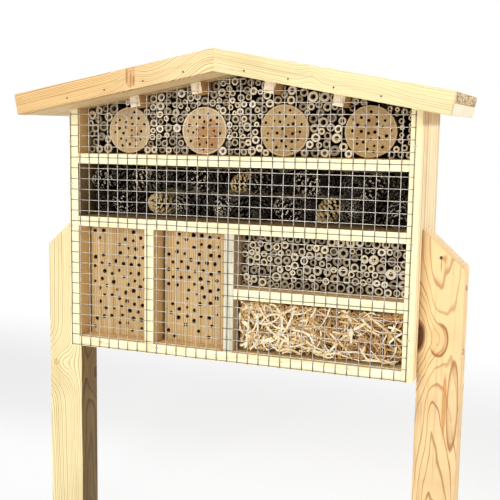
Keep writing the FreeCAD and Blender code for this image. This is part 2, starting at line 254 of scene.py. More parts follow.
class Graph:
    """Short calls that lay out the nodes of one tree."""

    def __init__(self, tree: bpy.types.NodeTree) -> None:
        """Work on this tree."""
        self.tree = tree

    def put(self, socket: Socket, value: object) -> None:
        """Link a socket to the input, or set the input to a plain value."""
        if isinstance(value, Socket):
            self.tree.links.new(value, socket)
        elif value is not None:
            socket.default_value = value

    def add(self, kind: str, inputs: dict | None = None, **settings: object) -> bpy.types.Node:
        """Add a node.

        Args:
            kind: the node's type without its ShaderNode prefix.
            inputs: values or sockets for its inputs, by name or number.
            settings: the node's own properties.

        Returns:
            The node.
        """
        node = self.tree.nodes.new("ShaderNode" + kind)
        for name, value in settings.items():
            setattr(node, name, value)
        for name, value in (inputs or {}).items():
            self.put(node.inputs[name], value)
        return node

    def group(self, name: str, values: dict[str, object]) -> dict[str, Socket]:
        """Outputs of a node group fed with these values."""
        return self.add("Group", values, node_tree=bpy.data.node_groups[name]).outputs

    def math(self, operation: str, *values: object) -> Socket:
        """Result of a Math node on these values."""
        return self.add("Math", dict(enumerate(values)), operation=operation).outputs[0]

    def plus(self, first: object, second: object) -> Socket:
        """Sum of two values."""
        return self.math("ADD", first, second)

    def times(self, first: object, second: object) -> Socket:
        """Product of two values."""
        return self.math("MULTIPLY", first, second)

    def swing(self, value: object, width: object) -> Socket:
        """How far the value lies from a half, times a width."""
        return self.times(self.math("SUBTRACT", value, 0.5), width)

    def vector(self, operation: str, *values: object) -> Socket:
        """Result of a Vector Math node on these values."""
        node = self.add("VectorMath", dict(enumerate(values)), operation=operation)
        return node.outputs["Value" if operation in ("LENGTH", "DOT_PRODUCT") else "Vector"]

    def part(self, vector: object, axis: str) -> Socket:
        """One part, X, Y or Z, of a vector."""
        return self.add("SeparateXYZ", {"Vector": vector}).outputs[axis]

    def step(self, value: object, low: float, high: float) -> Socket:
        """Smooth step from 0 at low to 1 at high, or the other way if low is above high."""
        first, last = (0.0, 1.0) if low < high else (1.0, 0.0)
        inputs = {"Value": value, "From Min": min(low, high), "From Max": max(low, high),
                  "To Min": first, "To Max": last}
        return self.add("MapRange", inputs, interpolation_type="SMOOTHSTEP").outputs["Result"]

    def veil(self, value: object, low: float, high: float, share: float) -> Socket:
        """Smooth step that only rises to a share."""
        return self.times(self.step(value, low, high), share)

    def noise(self, vector: object, scale: float, detail: float = 2.0, roughness: float = 0.5) -> Socket:
        """Noise about 0.5 with so many features to the metre."""
        inputs = {"Vector": vector, "Scale": scale, "Detail": detail, "Roughness": roughness}
        return self.add("TexNoise", inputs).outputs["Fac"]

    def line_noise(self, value: object, scale: float, detail: float) -> Socket:
        """Noise along one value."""
        inputs = {"W": value, "Scale": scale, "Detail": detail}
        return self.add("TexNoise", inputs, noise_dimensions="1D").outputs["Fac"]

    def mix(self, share: object, first: object, second: object, blend: str = "MIX") -> Socket:
        """Mix of two colours."""
        node = self.add("Mix", None, data_type="RGBA", blend_type=blend)
        for n, value in ((0, share), (6, first), (7, second)):
            self.put(node.inputs[n], rgba(value) if isinstance(value, tuple) and len(value) == 3 else value)
        return node.outputs[2]

    def ramp(self, value: object, tones: tuple[Colour, ...]) -> Socket:
        """Colour along evenly spaced tones."""
        node = self.add("ValToRGB", {"Fac": value})
        elements = node.color_ramp.elements
        while len(elements) < len(tones):
            elements.new(1.0)
        for n, (element, colour) in enumerate(zip(elements, tones)):
            element.position = n / (len(tones) - 1)
            element.color = rgba(colour)
        return node.outputs["Color"]

    def attribute(self, name: str) -> Socket:
        """Value of a mesh attribute."""
        return self.add("Attribute", None, attribute_name=name).outputs["Fac"]

    def object_place(self) -> Socket:
        """Object coordinates."""
        return self.add("TexCoord").outputs["Object"]

    def seen(self) -> Socket:
        """1 where the eye looks, directly or through a gloss or glass, and 0 for light on its way."""
        path = self.add("LightPath").outputs
        mirrored = self.math("MAXIMUM", path["Is Glossy Ray"], path["Is Transmission Ray"])
        return self.math("MAXIMUM", path["Is Camera Ray"], mirrored)

    def surface(self, colour: object, roughness: object, height: Socket, relief: tuple[float, float],
                plain: dict[str, float] | None = None) -> None:
        """Set the Principled shader of a material.

        Args:
            colour: its base colour.
            roughness: its roughness.
            height: the height of its fine relief.
            relief: strength and depth in metres of the relief.
            plain: further inputs with plain values, by name.
        """
        bump = self.add("Bump", {"Height": height, "Strength": relief[0], "Distance": relief[1]})
        inputs = {"Base Color": colour, "Roughness": roughness, "Normal": bump.outputs["Normal"]}
        shader = self.tree.nodes["Principled BSDF"]
        for name, value in (inputs | (plain or {})).items():
            self.put(shader.inputs[name], value)


def wear(piece: Piece, name: str, paint: Callable[[Graph], None]) -> None:
    """Give the piece the material of this name, laid out by paint if it is new."""
    material = bpy.data.materials.get(name)
    if not material:
        material = bpy.data.materials.new(name)
        material.use_nodes = True
        paint(Graph(material.node_tree))
    piece.data.materials.clear()
    piece.data.materials.append(material)


def new_group(name: str, inputs: dict[str, str], outputs: tuple[str, ...]) -> tuple[Graph, dict[str, Socket]]:
    """Start a shader node group.

    Args:
        name: the group's name.
        inputs: kind of each input socket (Float or Vector), by name.
        outputs: names of the output sockets.

    Returns:
        The graph that works on the group, and its input sockets by name.
    """
    tree = bpy.data.node_groups.new(name, "ShaderNodeTree")
    for side, sockets in (("INPUT", inputs), ("OUTPUT", dict.fromkeys(outputs, "Float"))):
        for label, kind in sockets.items():
            tree.interface.new_socket(label, in_out=side, socket_type="NodeSocket" + kind)
    entry = tree.nodes.new("NodeGroupInput")
    return Graph(tree), {label: entry.outputs[label] for label in inputs}


def close_group(g: Graph, results: dict[str, Socket]) -> None:
    """Link the results to the group's outputs."""
    leave = g.tree.nodes.new("NodeGroupOutput")
    for label, socket in results.items():
        g.put(leave.inputs[label], socket)


def growth_rings_group() -> None:
    """Rings about the pith of a trunk: the pith runs along the vector's Z through its origin."""
    inputs = {"Vector": "Vector", **dict.fromkeys(("Ring Width", "Wander", "Bend", "Early Share"), "Float")}
    g, inlet = new_group("growth_rings", inputs, ("Late Wood", "Fibre", "Streak"))
    place, early_share = inlet["Vector"], inlet["Early Share"]
    slow = g.vector("MULTIPLY", place, (14.0, 14.0, 3.0))
    drift = g.swing(g.noise(slow, 1.0, 3.0), inlet["Wander"])
    flat = g.vector("MULTIPLY", place, (1.0, 1.0, 0.0))
    reach = g.plus(g.plus(g.vector("LENGTH", flat), drift), inlet["Bend"])
    uneven = g.line_noise(reach, 90.0, 1.0)
    turns = g.plus(g.math("DIVIDE", reach, inlet["Ring Width"]), g.times(uneven, 1.6))
    phase = g.math("FRACT", turns)
    ripe = g.math("DIVIDE", g.math("SUBTRACT", phase, early_share), g.math("SUBTRACT", 0.9, early_share))
    year = g.add("TexWhiteNoise", {"W": g.math("FLOOR", turns)}, noise_dimensions="1D").outputs["Value"]
    depth = g.plus(0.45, g.times(year, 0.55))
    close_group(g, {
        "Late Wood": g.times(g.times(g.step(ripe, 0.0, 1.0), g.step(phase, 1.0, 0.92)), depth),
        "Fibre": g.noise(g.vector("MULTIPLY", place, (1500.0, 1500.0, 30.0)), 1.0, 2.0, 0.6),
        "Streak": g.noise(g.vector("MULTIPLY", place, (160.0, 160.0, 5.0)), 1.0, 3.0, 0.6),
    })


def knot_group() -> None:
    """A knot: a branch that runs through the board, and the grain bent round it."""
    vectors, floats = ("Vector", "Centre", "Shape", "Side"), ("Radius", "Pull", "Spread", "Wobble")
    inputs = {**dict.fromkeys(vectors, "Vector"), **dict.fromkeys(floats, "Float")}
    g, inlet = new_group("knot", inputs, ("Core", "Bend", "Tint", "Outline"))
    away = g.vector("MULTIPLY", g.vector("SUBTRACT", inlet["Vector"], inlet["Centre"]), inlet["Shape"])
    far = g.vector("LENGTH", away)
    rough = g.noise(g.vector("MULTIPLY", inlet["Vector"], (1.0, 1.0, 0.3)), 55.0, 2.0)
    share = g.plus(g.math("DIVIDE", far, inlet["Radius"]), g.swing(rough, inlet["Wobble"]))
    reach = g.math("DIVIDE", far, inlet["Spread"])
    falling = g.math("POWER", 2.718, g.times(g.times(reach, reach), -1.0))
    facing = g.math("DIVIDE", g.vector("DOT_PRODUCT", away, inlet["Side"]), far)
    band = g.times(g.step(share, 0.72, 0.98), g.step(share, 1.12, 1.0))
    close_group(g, {
        "Core": g.step(share, 1.1, 0.7),
        "Bend": g.times(falling, inlet["Pull"]),
        "Tint": g.math("FRACT", g.times(share, 2.5)),
        "Outline": g.times(band, g.step(facing, -0.6, 0.0)),
    })


class Grain(Enum):
    """Which way a board's fibres run; the value turns them onto Z."""

    ALONG_X = (0.0, -90.0, 0.0)
    ALONG_Y = (90.0, 0.0, 0.0)
    ALONG_Z = (0.0, 0.0, 0.0)
    LEFT_SLOPE = (0.0, -79.4, 0.0)
    RIGHT_SLOPE = (0.0, -100.6, 0.0)


@dataclass(frozen=True)
class Knot:
    """A knot at a place in the hotel, and how far it bends the grain.

    shape squeezes the axes on which its distance is measured: 0 along its branch, below 1 where the knot is
    long. side is the way in which its outline is strongest, and outline shows all round without one.
    """

    centre: Point
    radius: float
    shape: Point = (1.0, 0.0, 0.75)
    pull: float = 0.012
    spread: float = 0.025
    colour: Colour = srgb(150, 92, 50)
    strength: float = 0.8
    outline: float = 0.0
    side: Point = (0.0, 0.0, 0.0)
    wobble: float = 0.5

    def inputs(self, place: Socket) -> dict[str, object]:
        """Inputs of the knot group for this knot."""
        return {"Vector": place, "Centre": self.centre, "Shape": self.shape, "Side": self.side,
                "Radius": self.radius, "Pull": self.pull, "Spread": self.spread, "Wobble": self.wobble}


@dataclass(frozen=True)
class Cut:
    """How a board was cut from its trunk, with its knots and its darker faces.

    pith is where the board's middle lay from the pith, and lean is the pith's lean in degrees. bored_from
    is the y of a bored face, behind which the hole walls are darkened with painted shade. Between the two
    heights of the bay's painted shade the faces towards its side are darkened with painted shade, and the
    faces towards the shaded side are darkened with painted shade all over.
    """

    grain: Grain
    pith: tuple[float, float] = (0.01, 0.07)
    lean: tuple[float, float] = (1.2, 0.6)
    ring_width: float = 0.0024
    wander: float = 0.012
    early_share: float = 0.3
    knots: tuple[Knot, ...] = ()
    bored_from: float | None = None
    # heights and side of the painted shade in the bay beside the pine cones
    bay_shade: tuple[float, float] | None = None
    bay_shade_side: Point = (1.0, 0.0, 0.0)
    # the faces towards this side are darkened with painted shade all over
    shaded_side: Point | None = None

    def turn(self) -> Matrix:
        """Turn that lays the board's grain along Z, with the pith's lean."""
        lean = [Matrix.Rotation(math.radians(angle), 3, axis) for angle, axis in zip(self.lean, "XY")]
        return lean[0] @ lean[1] @ Euler([math.radians(a) for a in self.grain.value]).to_matrix()


@dataclass(frozen=True)
class Timber:
    """Planed softwood: its broad faces, its front edges and its end grain."""

    early: Colour
    late: Colour
    edge: Colour = srgb(255, 244, 208)
    edge_late: Colour = srgb(232, 214, 160)
    end: Colour = srgb(226, 204, 160)
    edge_share: float = 0.0
    end_speckle: float = 0.3
    end_blotch: float = 0.0
    late_share: float = 0.8
    streak_share: float = 0.25
    roughness: float = 0.62
    paler: Colour | None = None
    paler_span: tuple[float, float] = (0.0, 1.0)
    # painted shade of the faces towards a shaded side
    shaded_early: Colour = srgb(144, 116, 68)
    shaded_late: Colour = srgb(76, 52, 26)
    # painted shade of the faces in the bay beside the pine cones
    bay_shade: Colour = srgb(118, 102, 70)
    fibre: Colour = (0.93, 0.86, 0.72)
    # painted shade of the hole walls
    bore_shade: Colour = srgb(60, 38, 22)
    torn: Colour = srgb(54, 35, 20)

    def dress(self, piece: Piece, cut: Cut) -> None:
        """Give the piece a material of this timber, cut in this way."""
        points = corners(piece)
        middle = Vector((points.min(0) + points.max(0)) / 2)
        wear(piece, piece.name, lambda g: self.paint(g, cut, middle))

    def paint(self, g: Graph, cut: Cut, middle: Vector) -> None:
        """Lay out the material of one board.

        Args:
            g: graph of the material.
            cut: how the board lay in the trunk.
            middle: the board's middle.
        """
        place, normal = g.object_place(), g.add("TexCoord").outputs["Normal"]
        turn = cut.turn()
        knots = [(knot, g.group("knot", knot.inputs(place))) for knot in cut.knots]
        bend: object = 0.0
        for _, branch in knots:
            bend = g.plus(bend, branch["Bend"])
        shift = Vector((*cut.pith, 0.0)) - turn @ middle
        trunk = g.add("Mapping", {"Vector": place, "Location": shift, "Rotation": turn.to_euler()}).outputs[0]
        rings = g.group("growth_rings", {"Vector": trunk, "Ring Width": cut.ring_width, "Wander": cut.wander,
                                         "Bend": bend, "Early Share": cut.early_share})
        late, fibre = rings["Late Wood"], rings["Fibre"]
        early, dark = self.face_colours(g, cut, place, normal)
        colour = g.mix(g.times(late, self.late_share), early, dark)
        colour = g.mix(g.veil(rings["Streak"], 0.5, 0.8, self.streak_share), colour, dark)
        colour = g.mix(g.veil(fibre, 0.35, 0.75, 0.3), colour, self.fibre, "MULTIPLY")
        colour = g.mix(g.veil(g.noise(place, 9.0, 3.0), 0.45, 0.75, 0.2), colour, dark, "MULTIPLY")
        for knot, branch in knots:
            inner = g.mix(branch["Tint"], knot.colour, g.mix(0.45, knot.colour, self.late))
            colour = g.mix(g.times(branch["Core"], knot.strength), colour, inner)
            if knot.outline:
                colour = g.mix(g.times(branch["Outline"], knot.outline), colour, self.late)
        # painted shade on the hole walls behind the bored face
        if cut.bored_from is not None:
            inside = g.veil(g.part(place, "Y"), cut.bored_from + 0.0008, cut.bored_from + 0.003, 0.85)
            colour = g.mix(inside, colour, self.bore_shade)
        along = turn.transposed() @ Vector((0.0, 0.0, 1.0))
        cut_end = g.veil(g.math("ABSOLUTE", g.vector("DOT_PRODUCT", normal, along)), 0.75, 0.95, 0.85)
        colour = g.mix(cut_end, colour, self.sawn(g, place, late))
        height = g.plus(g.times(late, 0.5), g.times(fibre, 0.5))
        g.surface(colour, g.plus(self.roughness, g.swing(fibre, 0.25)), height, (0.35, 0.0006),
                  {"Specular IOR Level": 0.3})

    def face_colours(self, g: Graph, cut: Cut, place: Socket, normal: Socket) -> tuple[object, object]:
        """Early and late wood on each face: paler on front edges, darkened with painted shade on a shaded side
        and beside the cones.
        """
        early, dark = self.early, self.late
        if self.edge_share > 0:
            forward = g.math("ABSOLUTE", g.vector("DOT_PRODUCT", normal, (0.0, 1.0, 0.0)))
            on_edge = g.veil(forward, 0.6, 0.95, self.edge_share)
            early, dark = g.mix(on_edge, early, self.edge), g.mix(on_edge, dark, self.edge_late)
        # painted shade on the faces towards the shaded side
        if cut.shaded_side:
            dull = g.step(g.vector("DOT_PRODUCT", normal, cut.shaded_side), 0.6, 0.95)
            early, dark = g.mix(dull, early, self.shaded_early), g.mix(dull, dark, self.shaded_late)
        # painted shade on the faces towards the bay, between the given heights beside the pine cones
        if cut.bay_shade:
            height, (low, high), fade = g.part(place, "Z"), cut.bay_shade, 0.004
            inside = g.times(g.step(height, low - fade, low + fade), g.step(height, high + fade, high - fade))
            inside = g.times(inside, g.step(g.vector("DOT_PRODUCT", normal, cut.bay_shade_side), 0.5, 0.9))
            early = g.mix(inside, early, self.bay_shade)
        if self.paler:
            early = g.mix(g.step(g.part(place, "X"), *self.paler_span), early, self.paler)
        return early, dark

    def sawn(self, g: Graph, place: Socket, late: Socket) -> Socket:
        """Colour of sawn end grain, speckled by the saw and blotched where it is torn."""
        speckle = g.step(g.noise(place, 420.0, 2.0, 0.6), 0.52, 0.68)
        colour = g.mix(g.times(g.plus(late, speckle), self.end_speckle), self.end, self.late, "MULTIPLY")
        tooth = g.noise(g.vector("MULTIPLY", place, (1.0, 1.0, 0.12)), 380.0, 2.0, 0.6)
        colour = g.mix(g.veil(tooth, 0.54, 0.66, 0.3), colour, self.late)
        if self.end_blotch:
            torn = g.noise(g.vector("MULTIPLY", place, (1.0, 1.0, 1.4)), 170.0, 3.0, 0.6)
            colour = g.mix(g.veil(torn, 0.5, 0.53, self.end_blotch), colour, self.torn)
        return colour


FRAME_PINE = Timber(
    srgb(238, 208, 150), srgb(198, 156, 98), srgb(252, 244, 208), srgb(228, 212, 160), edge_share=1.0)
SHELF_PINE = Timber(
    srgb(228, 198, 144), srgb(196, 152, 94), srgb(252, 246, 212), srgb(226, 210, 158), edge_share=1.0)
GREY_PINE = Timber(
    srgb(206, 184, 146), srgb(176, 148, 108), srgb(220, 216, 196), srgb(186, 180, 152), edge_share=1.0)
WALL_PINE = Timber(
    srgb(243, 225, 182), srgb(180, 126, 82), srgb(252, 244, 208), srgb(228, 212, 160), edge_share=1.0,
    late_share=0.95)
PANEL_PINE = Timber(srgb(236, 212, 164), srgb(196, 156, 104), late_share=0.7)
FASCIA_ORANGE = Timber(
    srgb(226, 192, 134), srgb(158, 98, 50), late_share=0.85, streak_share=0.4, paler=srgb(240, 216, 164),
    paler_span=(-0.24, -0.02))
FASCIA_PALE = Timber(srgb(233, 219, 170), srgb(186, 154, 96), late_share=0.6, streak_share=0.35)
ROOF_PINE = Timber(srgb(246, 222, 172), srgb(196, 150, 98), end=srgb(248, 238, 214), end_speckle=0.4)
COVER_PINE = Timber(
    srgb(232, 204, 150), srgb(176, 124, 70), end=srgb(232, 206, 154), end_speckle=0.4, end_blotch=1.0,
    late_share=0.95)
BATTEN_PINE = Timber(
    srgb(204, 166, 112), srgb(168, 122, 72), end=srgb(255, 244, 218), end_speckle=0.25, late_share=0.7)
POST_PINE_LEFT = Timber(
    srgb(224, 200, 150), srgb(160, 118, 70), srgb(241, 227, 178), srgb(180, 144, 88), srgb(236, 216, 166),
    edge_share=1.0, late_share=0.9, streak_share=0.4)
POST_PINE_RIGHT = Timber(
    srgb(238, 206, 152), srgb(150, 84, 34), end=srgb(220, 184, 128), late_share=0.9, streak_share=0.45)
BLOCK_WOOD = Timber(srgb(212, 182, 130), srgb(112, 76, 38), late_share=0.8, streak_share=0.6, roughness=0.75)


# ---------------------------------------------------------------- boards

@dataclass
class Board:
    """One planed board of the hotel, taken from its CAD node and eased along its edges."""

    node: str
    slot: str
    timber: Timber
    cut: Cut
    ease: float = 0.001

    def build(self) -> None:
        """Build and dress the board."""
        piece = settle(node_copy(self.node), self.node + "_board")
        ease_edges(piece, self.ease)
        self.timber.dress(piece, self.cut)
        hand_over(piece, self.slot, self.node)


@dataclass
class Case:
    """The case's boards: walls, shelves, dividers and back panel."""

    ease: float = 0.0009
    bay_shade_reach: float = 0.005

    def build(self) -> None:
        """Build every board of the case."""
        across, up, above = Grain.ALONG_X, Grain.ALONG_Z, (0.0, 0.0, 1.0)
        # heights of the painted shade in the bay beside the pine cones
        bay_shade = (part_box("shelf_middle")[1].z - self.bay_shade_reach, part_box("shelf_upper")[0].z + self.bay_shade_reach)
        boards = [
            ("bottom_board", FRAME_PINE, Cut(across, (0.004, 0.05), (0.9, 0.4))),
            ("shelf_middle", SHELF_PINE, Cut(across, (-0.01, 0.06), (0.7, -0.5), bay_shade=bay_shade, bay_shade_side=above)),
            ("shelf_upper", SHELF_PINE, Cut(across, (0.012, 0.055), (-0.8, 0.5))),
            ("shelf_lower", SHELF_PINE, Cut(across, (0.01, 0.07), (1.1, 0.3))),
            ("divider_left", FRAME_PINE, Cut(up, (0.012, 0.06), (0.8, 0.6))),
            ("divider_right", GREY_PINE, Cut(up, (-0.008, 0.05), (-0.7, 0.9))),
            ("back_panel", PANEL_PINE, Cut(across, (0.05, 0.1), (0.6, 0.4))),
            ("side_wall_front_left", FRAME_PINE, Cut(up, (0.01, 0.06), (1.0, 0.7), bay_shade=bay_shade)),
            ("side_wall_rear_left", FRAME_PINE, Cut(up, (0.06, 0.02), (0.6, 1.0), bay_shade=bay_shade)),
            ("side_wall_front_right", WALL_PINE, Cut(up, (0.012, 0.07), (0.2, 0.3), 0.0250, 0.006, 0.4)),
            ("side_wall_rear_right", WALL_PINE, Cut(up, (0.016, 0.09), (-0.2, 0.3), 0.0210, 0.006, 0.35)),
        ]
        for node, timber, cut in boards:
            Board(node, "case_wood", timber, cut, self.ease).build()


@dataclass
class Roof:
    """Both slopes: boards, cover boards, battens and the fascia across the front."""

    ease: float = 0.0012
    batten_ease: float = 0.0008

    def build(self) -> None:
        """Build every board of the roof."""
        self.fascias()
        boards = (("roof_board_front_", ROOF_PINE, 0.05), ("roof_board_rear_", ROOF_PINE, 0.06),
                  ("roof_cover_front_", COVER_PINE, 0.045), ("roof_cover_rear_", COVER_PINE, 0.055))
        for side, along, sign in (("left", Grain.LEFT_SLOPE, -1), ("right", Grain.RIGHT_SLOPE, 1)):
            for name, timber, pith in boards:
                cut = Cut(along, (pith, 0.01 * sign), (0.4, 0.5))
                Board(name + side, "roof_wood", timber, cut, self.ease).build()
            for name in ("roof_batten_inner_", "roof_batten_outer_"):
                cut = Cut(Grain.ALONG_Y, (0.02, 0.03), (1.0, 1.0))
                Board(name + side, "roof_wood", BATTEN_PINE, cut, self.batten_ease).build()

    def fascias(self) -> None:
        """The two fascia boards: the left one orange, with a spike knot; the right one pale."""
        spike = Knot((-0.1450, -0.15, 0.840), 0.0080, (1.0, 0.0, 0.42), 0.009, 0.022, srgb(206, 154, 96),
                     0.5, 0.35)
        slits = [Knot(centre, radius, (1.0, 0.0, stretch), 0.0, 0.01, strength=strength)
                 for centre, radius, stretch, strength in (((-0.1510, -0.15, 0.838), 0.0016, 0.13, 0.7),
                                                           ((-0.1440, -0.15, 0.833), 0.0015, 0.10, 0.65),
                                                           ((-0.1385, -0.15, 0.830), 0.0020, 0.22, 0.75))]
        crown = Knot((-0.012, -0.15, 0.872), 0.001, (1.0, 0.0, 1.3), 0.028, 0.06, strength=0.0)
        burl = Knot((0.1592, -0.15, 0.8349), 0.002, (1.0, 0.0, 0.8), 0.009, 0.016, srgb(214, 180, 120), 0.5)
        swell = Knot((0.235, -0.15, 0.800), 0.001, (0.5, 0.0, 1.0), 0.012, 0.022, strength=0.0)
        left = Cut(Grain.LEFT_SLOPE, (0.052, 0.012), (0.0, 1.2), 0.0027, 0.012, 0.25, (spike, crown, *slits))
        right = Cut(Grain.RIGHT_SLOPE, (0.05, 0.012), (0.0, -0.8), 0.0034, 0.014, 0.25, (burl, swell))
        Board("fascia_left", "roof_wood", FASCIA_ORANGE, left, self.ease).build()
        Board("fascia_right", "roof_wood", FASCIA_PALE, right, self.ease).build()


@dataclass
class Posts:
    """The two posts with bevelled tops, and the screws that hold them to the case."""

    ease: float = 0.0022
    head_radius: float = 0.005
    head_thickness: float = 0.0016
    head_ease: float = 0.0007
    recess_depth: float = 0.0011
    recess_width: float = 0.0012
    recess_length: float = 0.0056
    shank_radius: float = 0.0025
    shank_length: float = 0.076

    def build(self) -> None:
        """Build the posts and their screws."""
        self.left_post()
        self.right_post()
        self.screws()

    def left_post(self) -> None:
        """The left post: a dark knot on its inner side and a pale one that swells its front."""
        branch = Knot((-0.311, 0.0255, 0.2838), 0.0105, (0.5, 1.0, 0.68), 0.016, 0.03, srgb(48, 33, 20),
                      0.95, 0.9, wobble=0.3)
        limb = Knot((-0.3665, -0.03, 0.3101), 0.0045, (1.0, 0.0, 0.9), 0.03, 0.036, srgb(214, 176, 116),
                    0.5, 0.7)
        # the inner side is darkened with painted shade all over
        cut = Cut(Grain.ALONG_Z, (0.05, -0.004), (0.4, 0.5), 0.0030, 0.012, 0.35, (branch, limb),
                  shaded_side=(1.0, 0.0, 0.0))
        Board("post_left", "post_wood", POST_PINE_LEFT, cut, self.ease).build()

    def right_post(self) -> None:
        """The right post: flame grain round a dark edge knot, a loop, two lenses, a pin knot and a crack."""
        dark = srgb(48, 30, 18)
        knots = (
            Knot((0.3118, -0.03, 0.4265), 0.0105, (1.0, 0.0, 0.42), 0.024, 0.036, dark, 0.97, 0.6),
            Knot((0.3425, -0.03, 0.4245), 0.0150, (1.0, 0.4, 0.56), 0.008, 0.02, srgb(236, 198, 134),
                 0.35, 0.9, (0.8, 0.0, -0.4), 0.2),
            Knot((0.3562, -0.03, 0.3180), 0.0042, (1.0, 0.0, 0.075), 0.0, 0.02, srgb(216, 150, 84), 0.8),
            Knot((0.3692, -0.03, 0.3180), 0.0085, (1.0, 0.5, 0.12), 0.0, 0.02, srgb(240, 214, 162), 0.5, 0.75,
                 wobble=0.15),
            Knot((0.3419, -0.03, 0.5560), 0.0032, (1.0, 0.0, 0.9), 0.002, 0.008, dark, 1.0),
            Knot((0.3426, -0.03, 0.5440), 0.0008, (1.0, 0.0, 0.06), 0.0, 0.01, srgb(120, 80, 44), 0.8),
        )
        cut = Cut(Grain.ALONG_Z, (0.0, -0.012), (1.6, 0.3), 0.0046, 0.03, 0.76, knots)
        Board("post_right", "post_wood", POST_PINE_RIGHT, cut, self.ease).build()

    def screws(self) -> None:
        """Screws with domed, cross-recessed heads."""
        low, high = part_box("post_screws")
        middles = [low.z + self.head_radius, high.z - self.head_radius]
        screws = [self.screw(sign, outer, z) for sign, outer in ((-1, low.x), (1, high.x)) for z in middles]
        piece = join(screws, "post_screws_zinc")
        ZINC.dress(piece)
        hand_over(piece, "fastener_steel", "post_screws")

    def screw(self, sign: int, outer: float, z: float) -> Piece:
        """One screw, its domed head's top at x = outer, with a cross recess."""
        turn = (0, math.radians(90), 0)
        place = (outer - sign * self.head_thickness / 2, 0.0, z)
        head = rod("screw_head", 28, self.head_radius, self.head_thickness, place, turn)
        ease_edges(head, self.head_ease, 3)
        depth, width, length = 2 * self.recess_depth, self.recess_width, self.recess_length
        for size in ((depth, width, length), (depth, length, width)):
            bore(head, cube("recess_bar", (outer, 0.0, z), size))
        place = (outer - sign * (self.head_thickness + self.shank_length / 2), 0.0, z)
        shank = rod("screw_shank", 12, self.shank_radius, self.shank_length, place, turn)
        return join([head, shank], "screw")


# ---------------------------------------------------------------- metal

@dataclass(frozen=True)
class Steel:
    """Bright or rusty steel with a faint spangle, darkened with painted shade where it lies against wood."""

    name: str
    bright: Colour
    dull: Colour
    roughness: float = 0.38
    # painted shade for where the steel lies against wood
    wood_shade: Colour | None = None

    def dress(self, piece: Piece) -> None:
        """Give the piece this steel."""
        wear(piece, self.name, self.paint)

    def paint(self, g: Graph) -> None:
        """Lay out the material."""
        spangle = g.noise(g.object_place(), 260.0, 3.0, 0.7)
        colour = g.mix(g.step(spangle, 0.35, 0.7), self.bright, self.dull)
        # painted shade where the wire lies against the boards
        if self.wood_shade:
            colour = g.mix(g.attribute("touches_wood"), colour, self.wood_shade)
        roughness = g.plus(self.roughness, g.times(spangle, 0.15))
        g.surface(colour, roughness, spangle, (0.2, 0.0002), {"Metallic": 1.0})


ZINC = Steel("zinc", srgb(205, 205, 200), srgb(150, 150, 146))
NAIL = Steel("nail_steel", srgb(120, 96, 74), srgb(84, 64, 48), 0.5)
# the last colour is painted shade where the wire lies against the boards
WIRE = Steel("galvanised_wire", srgb(212, 207, 197), srgb(168, 163, 153), 0.42, srgb(108, 100, 84))


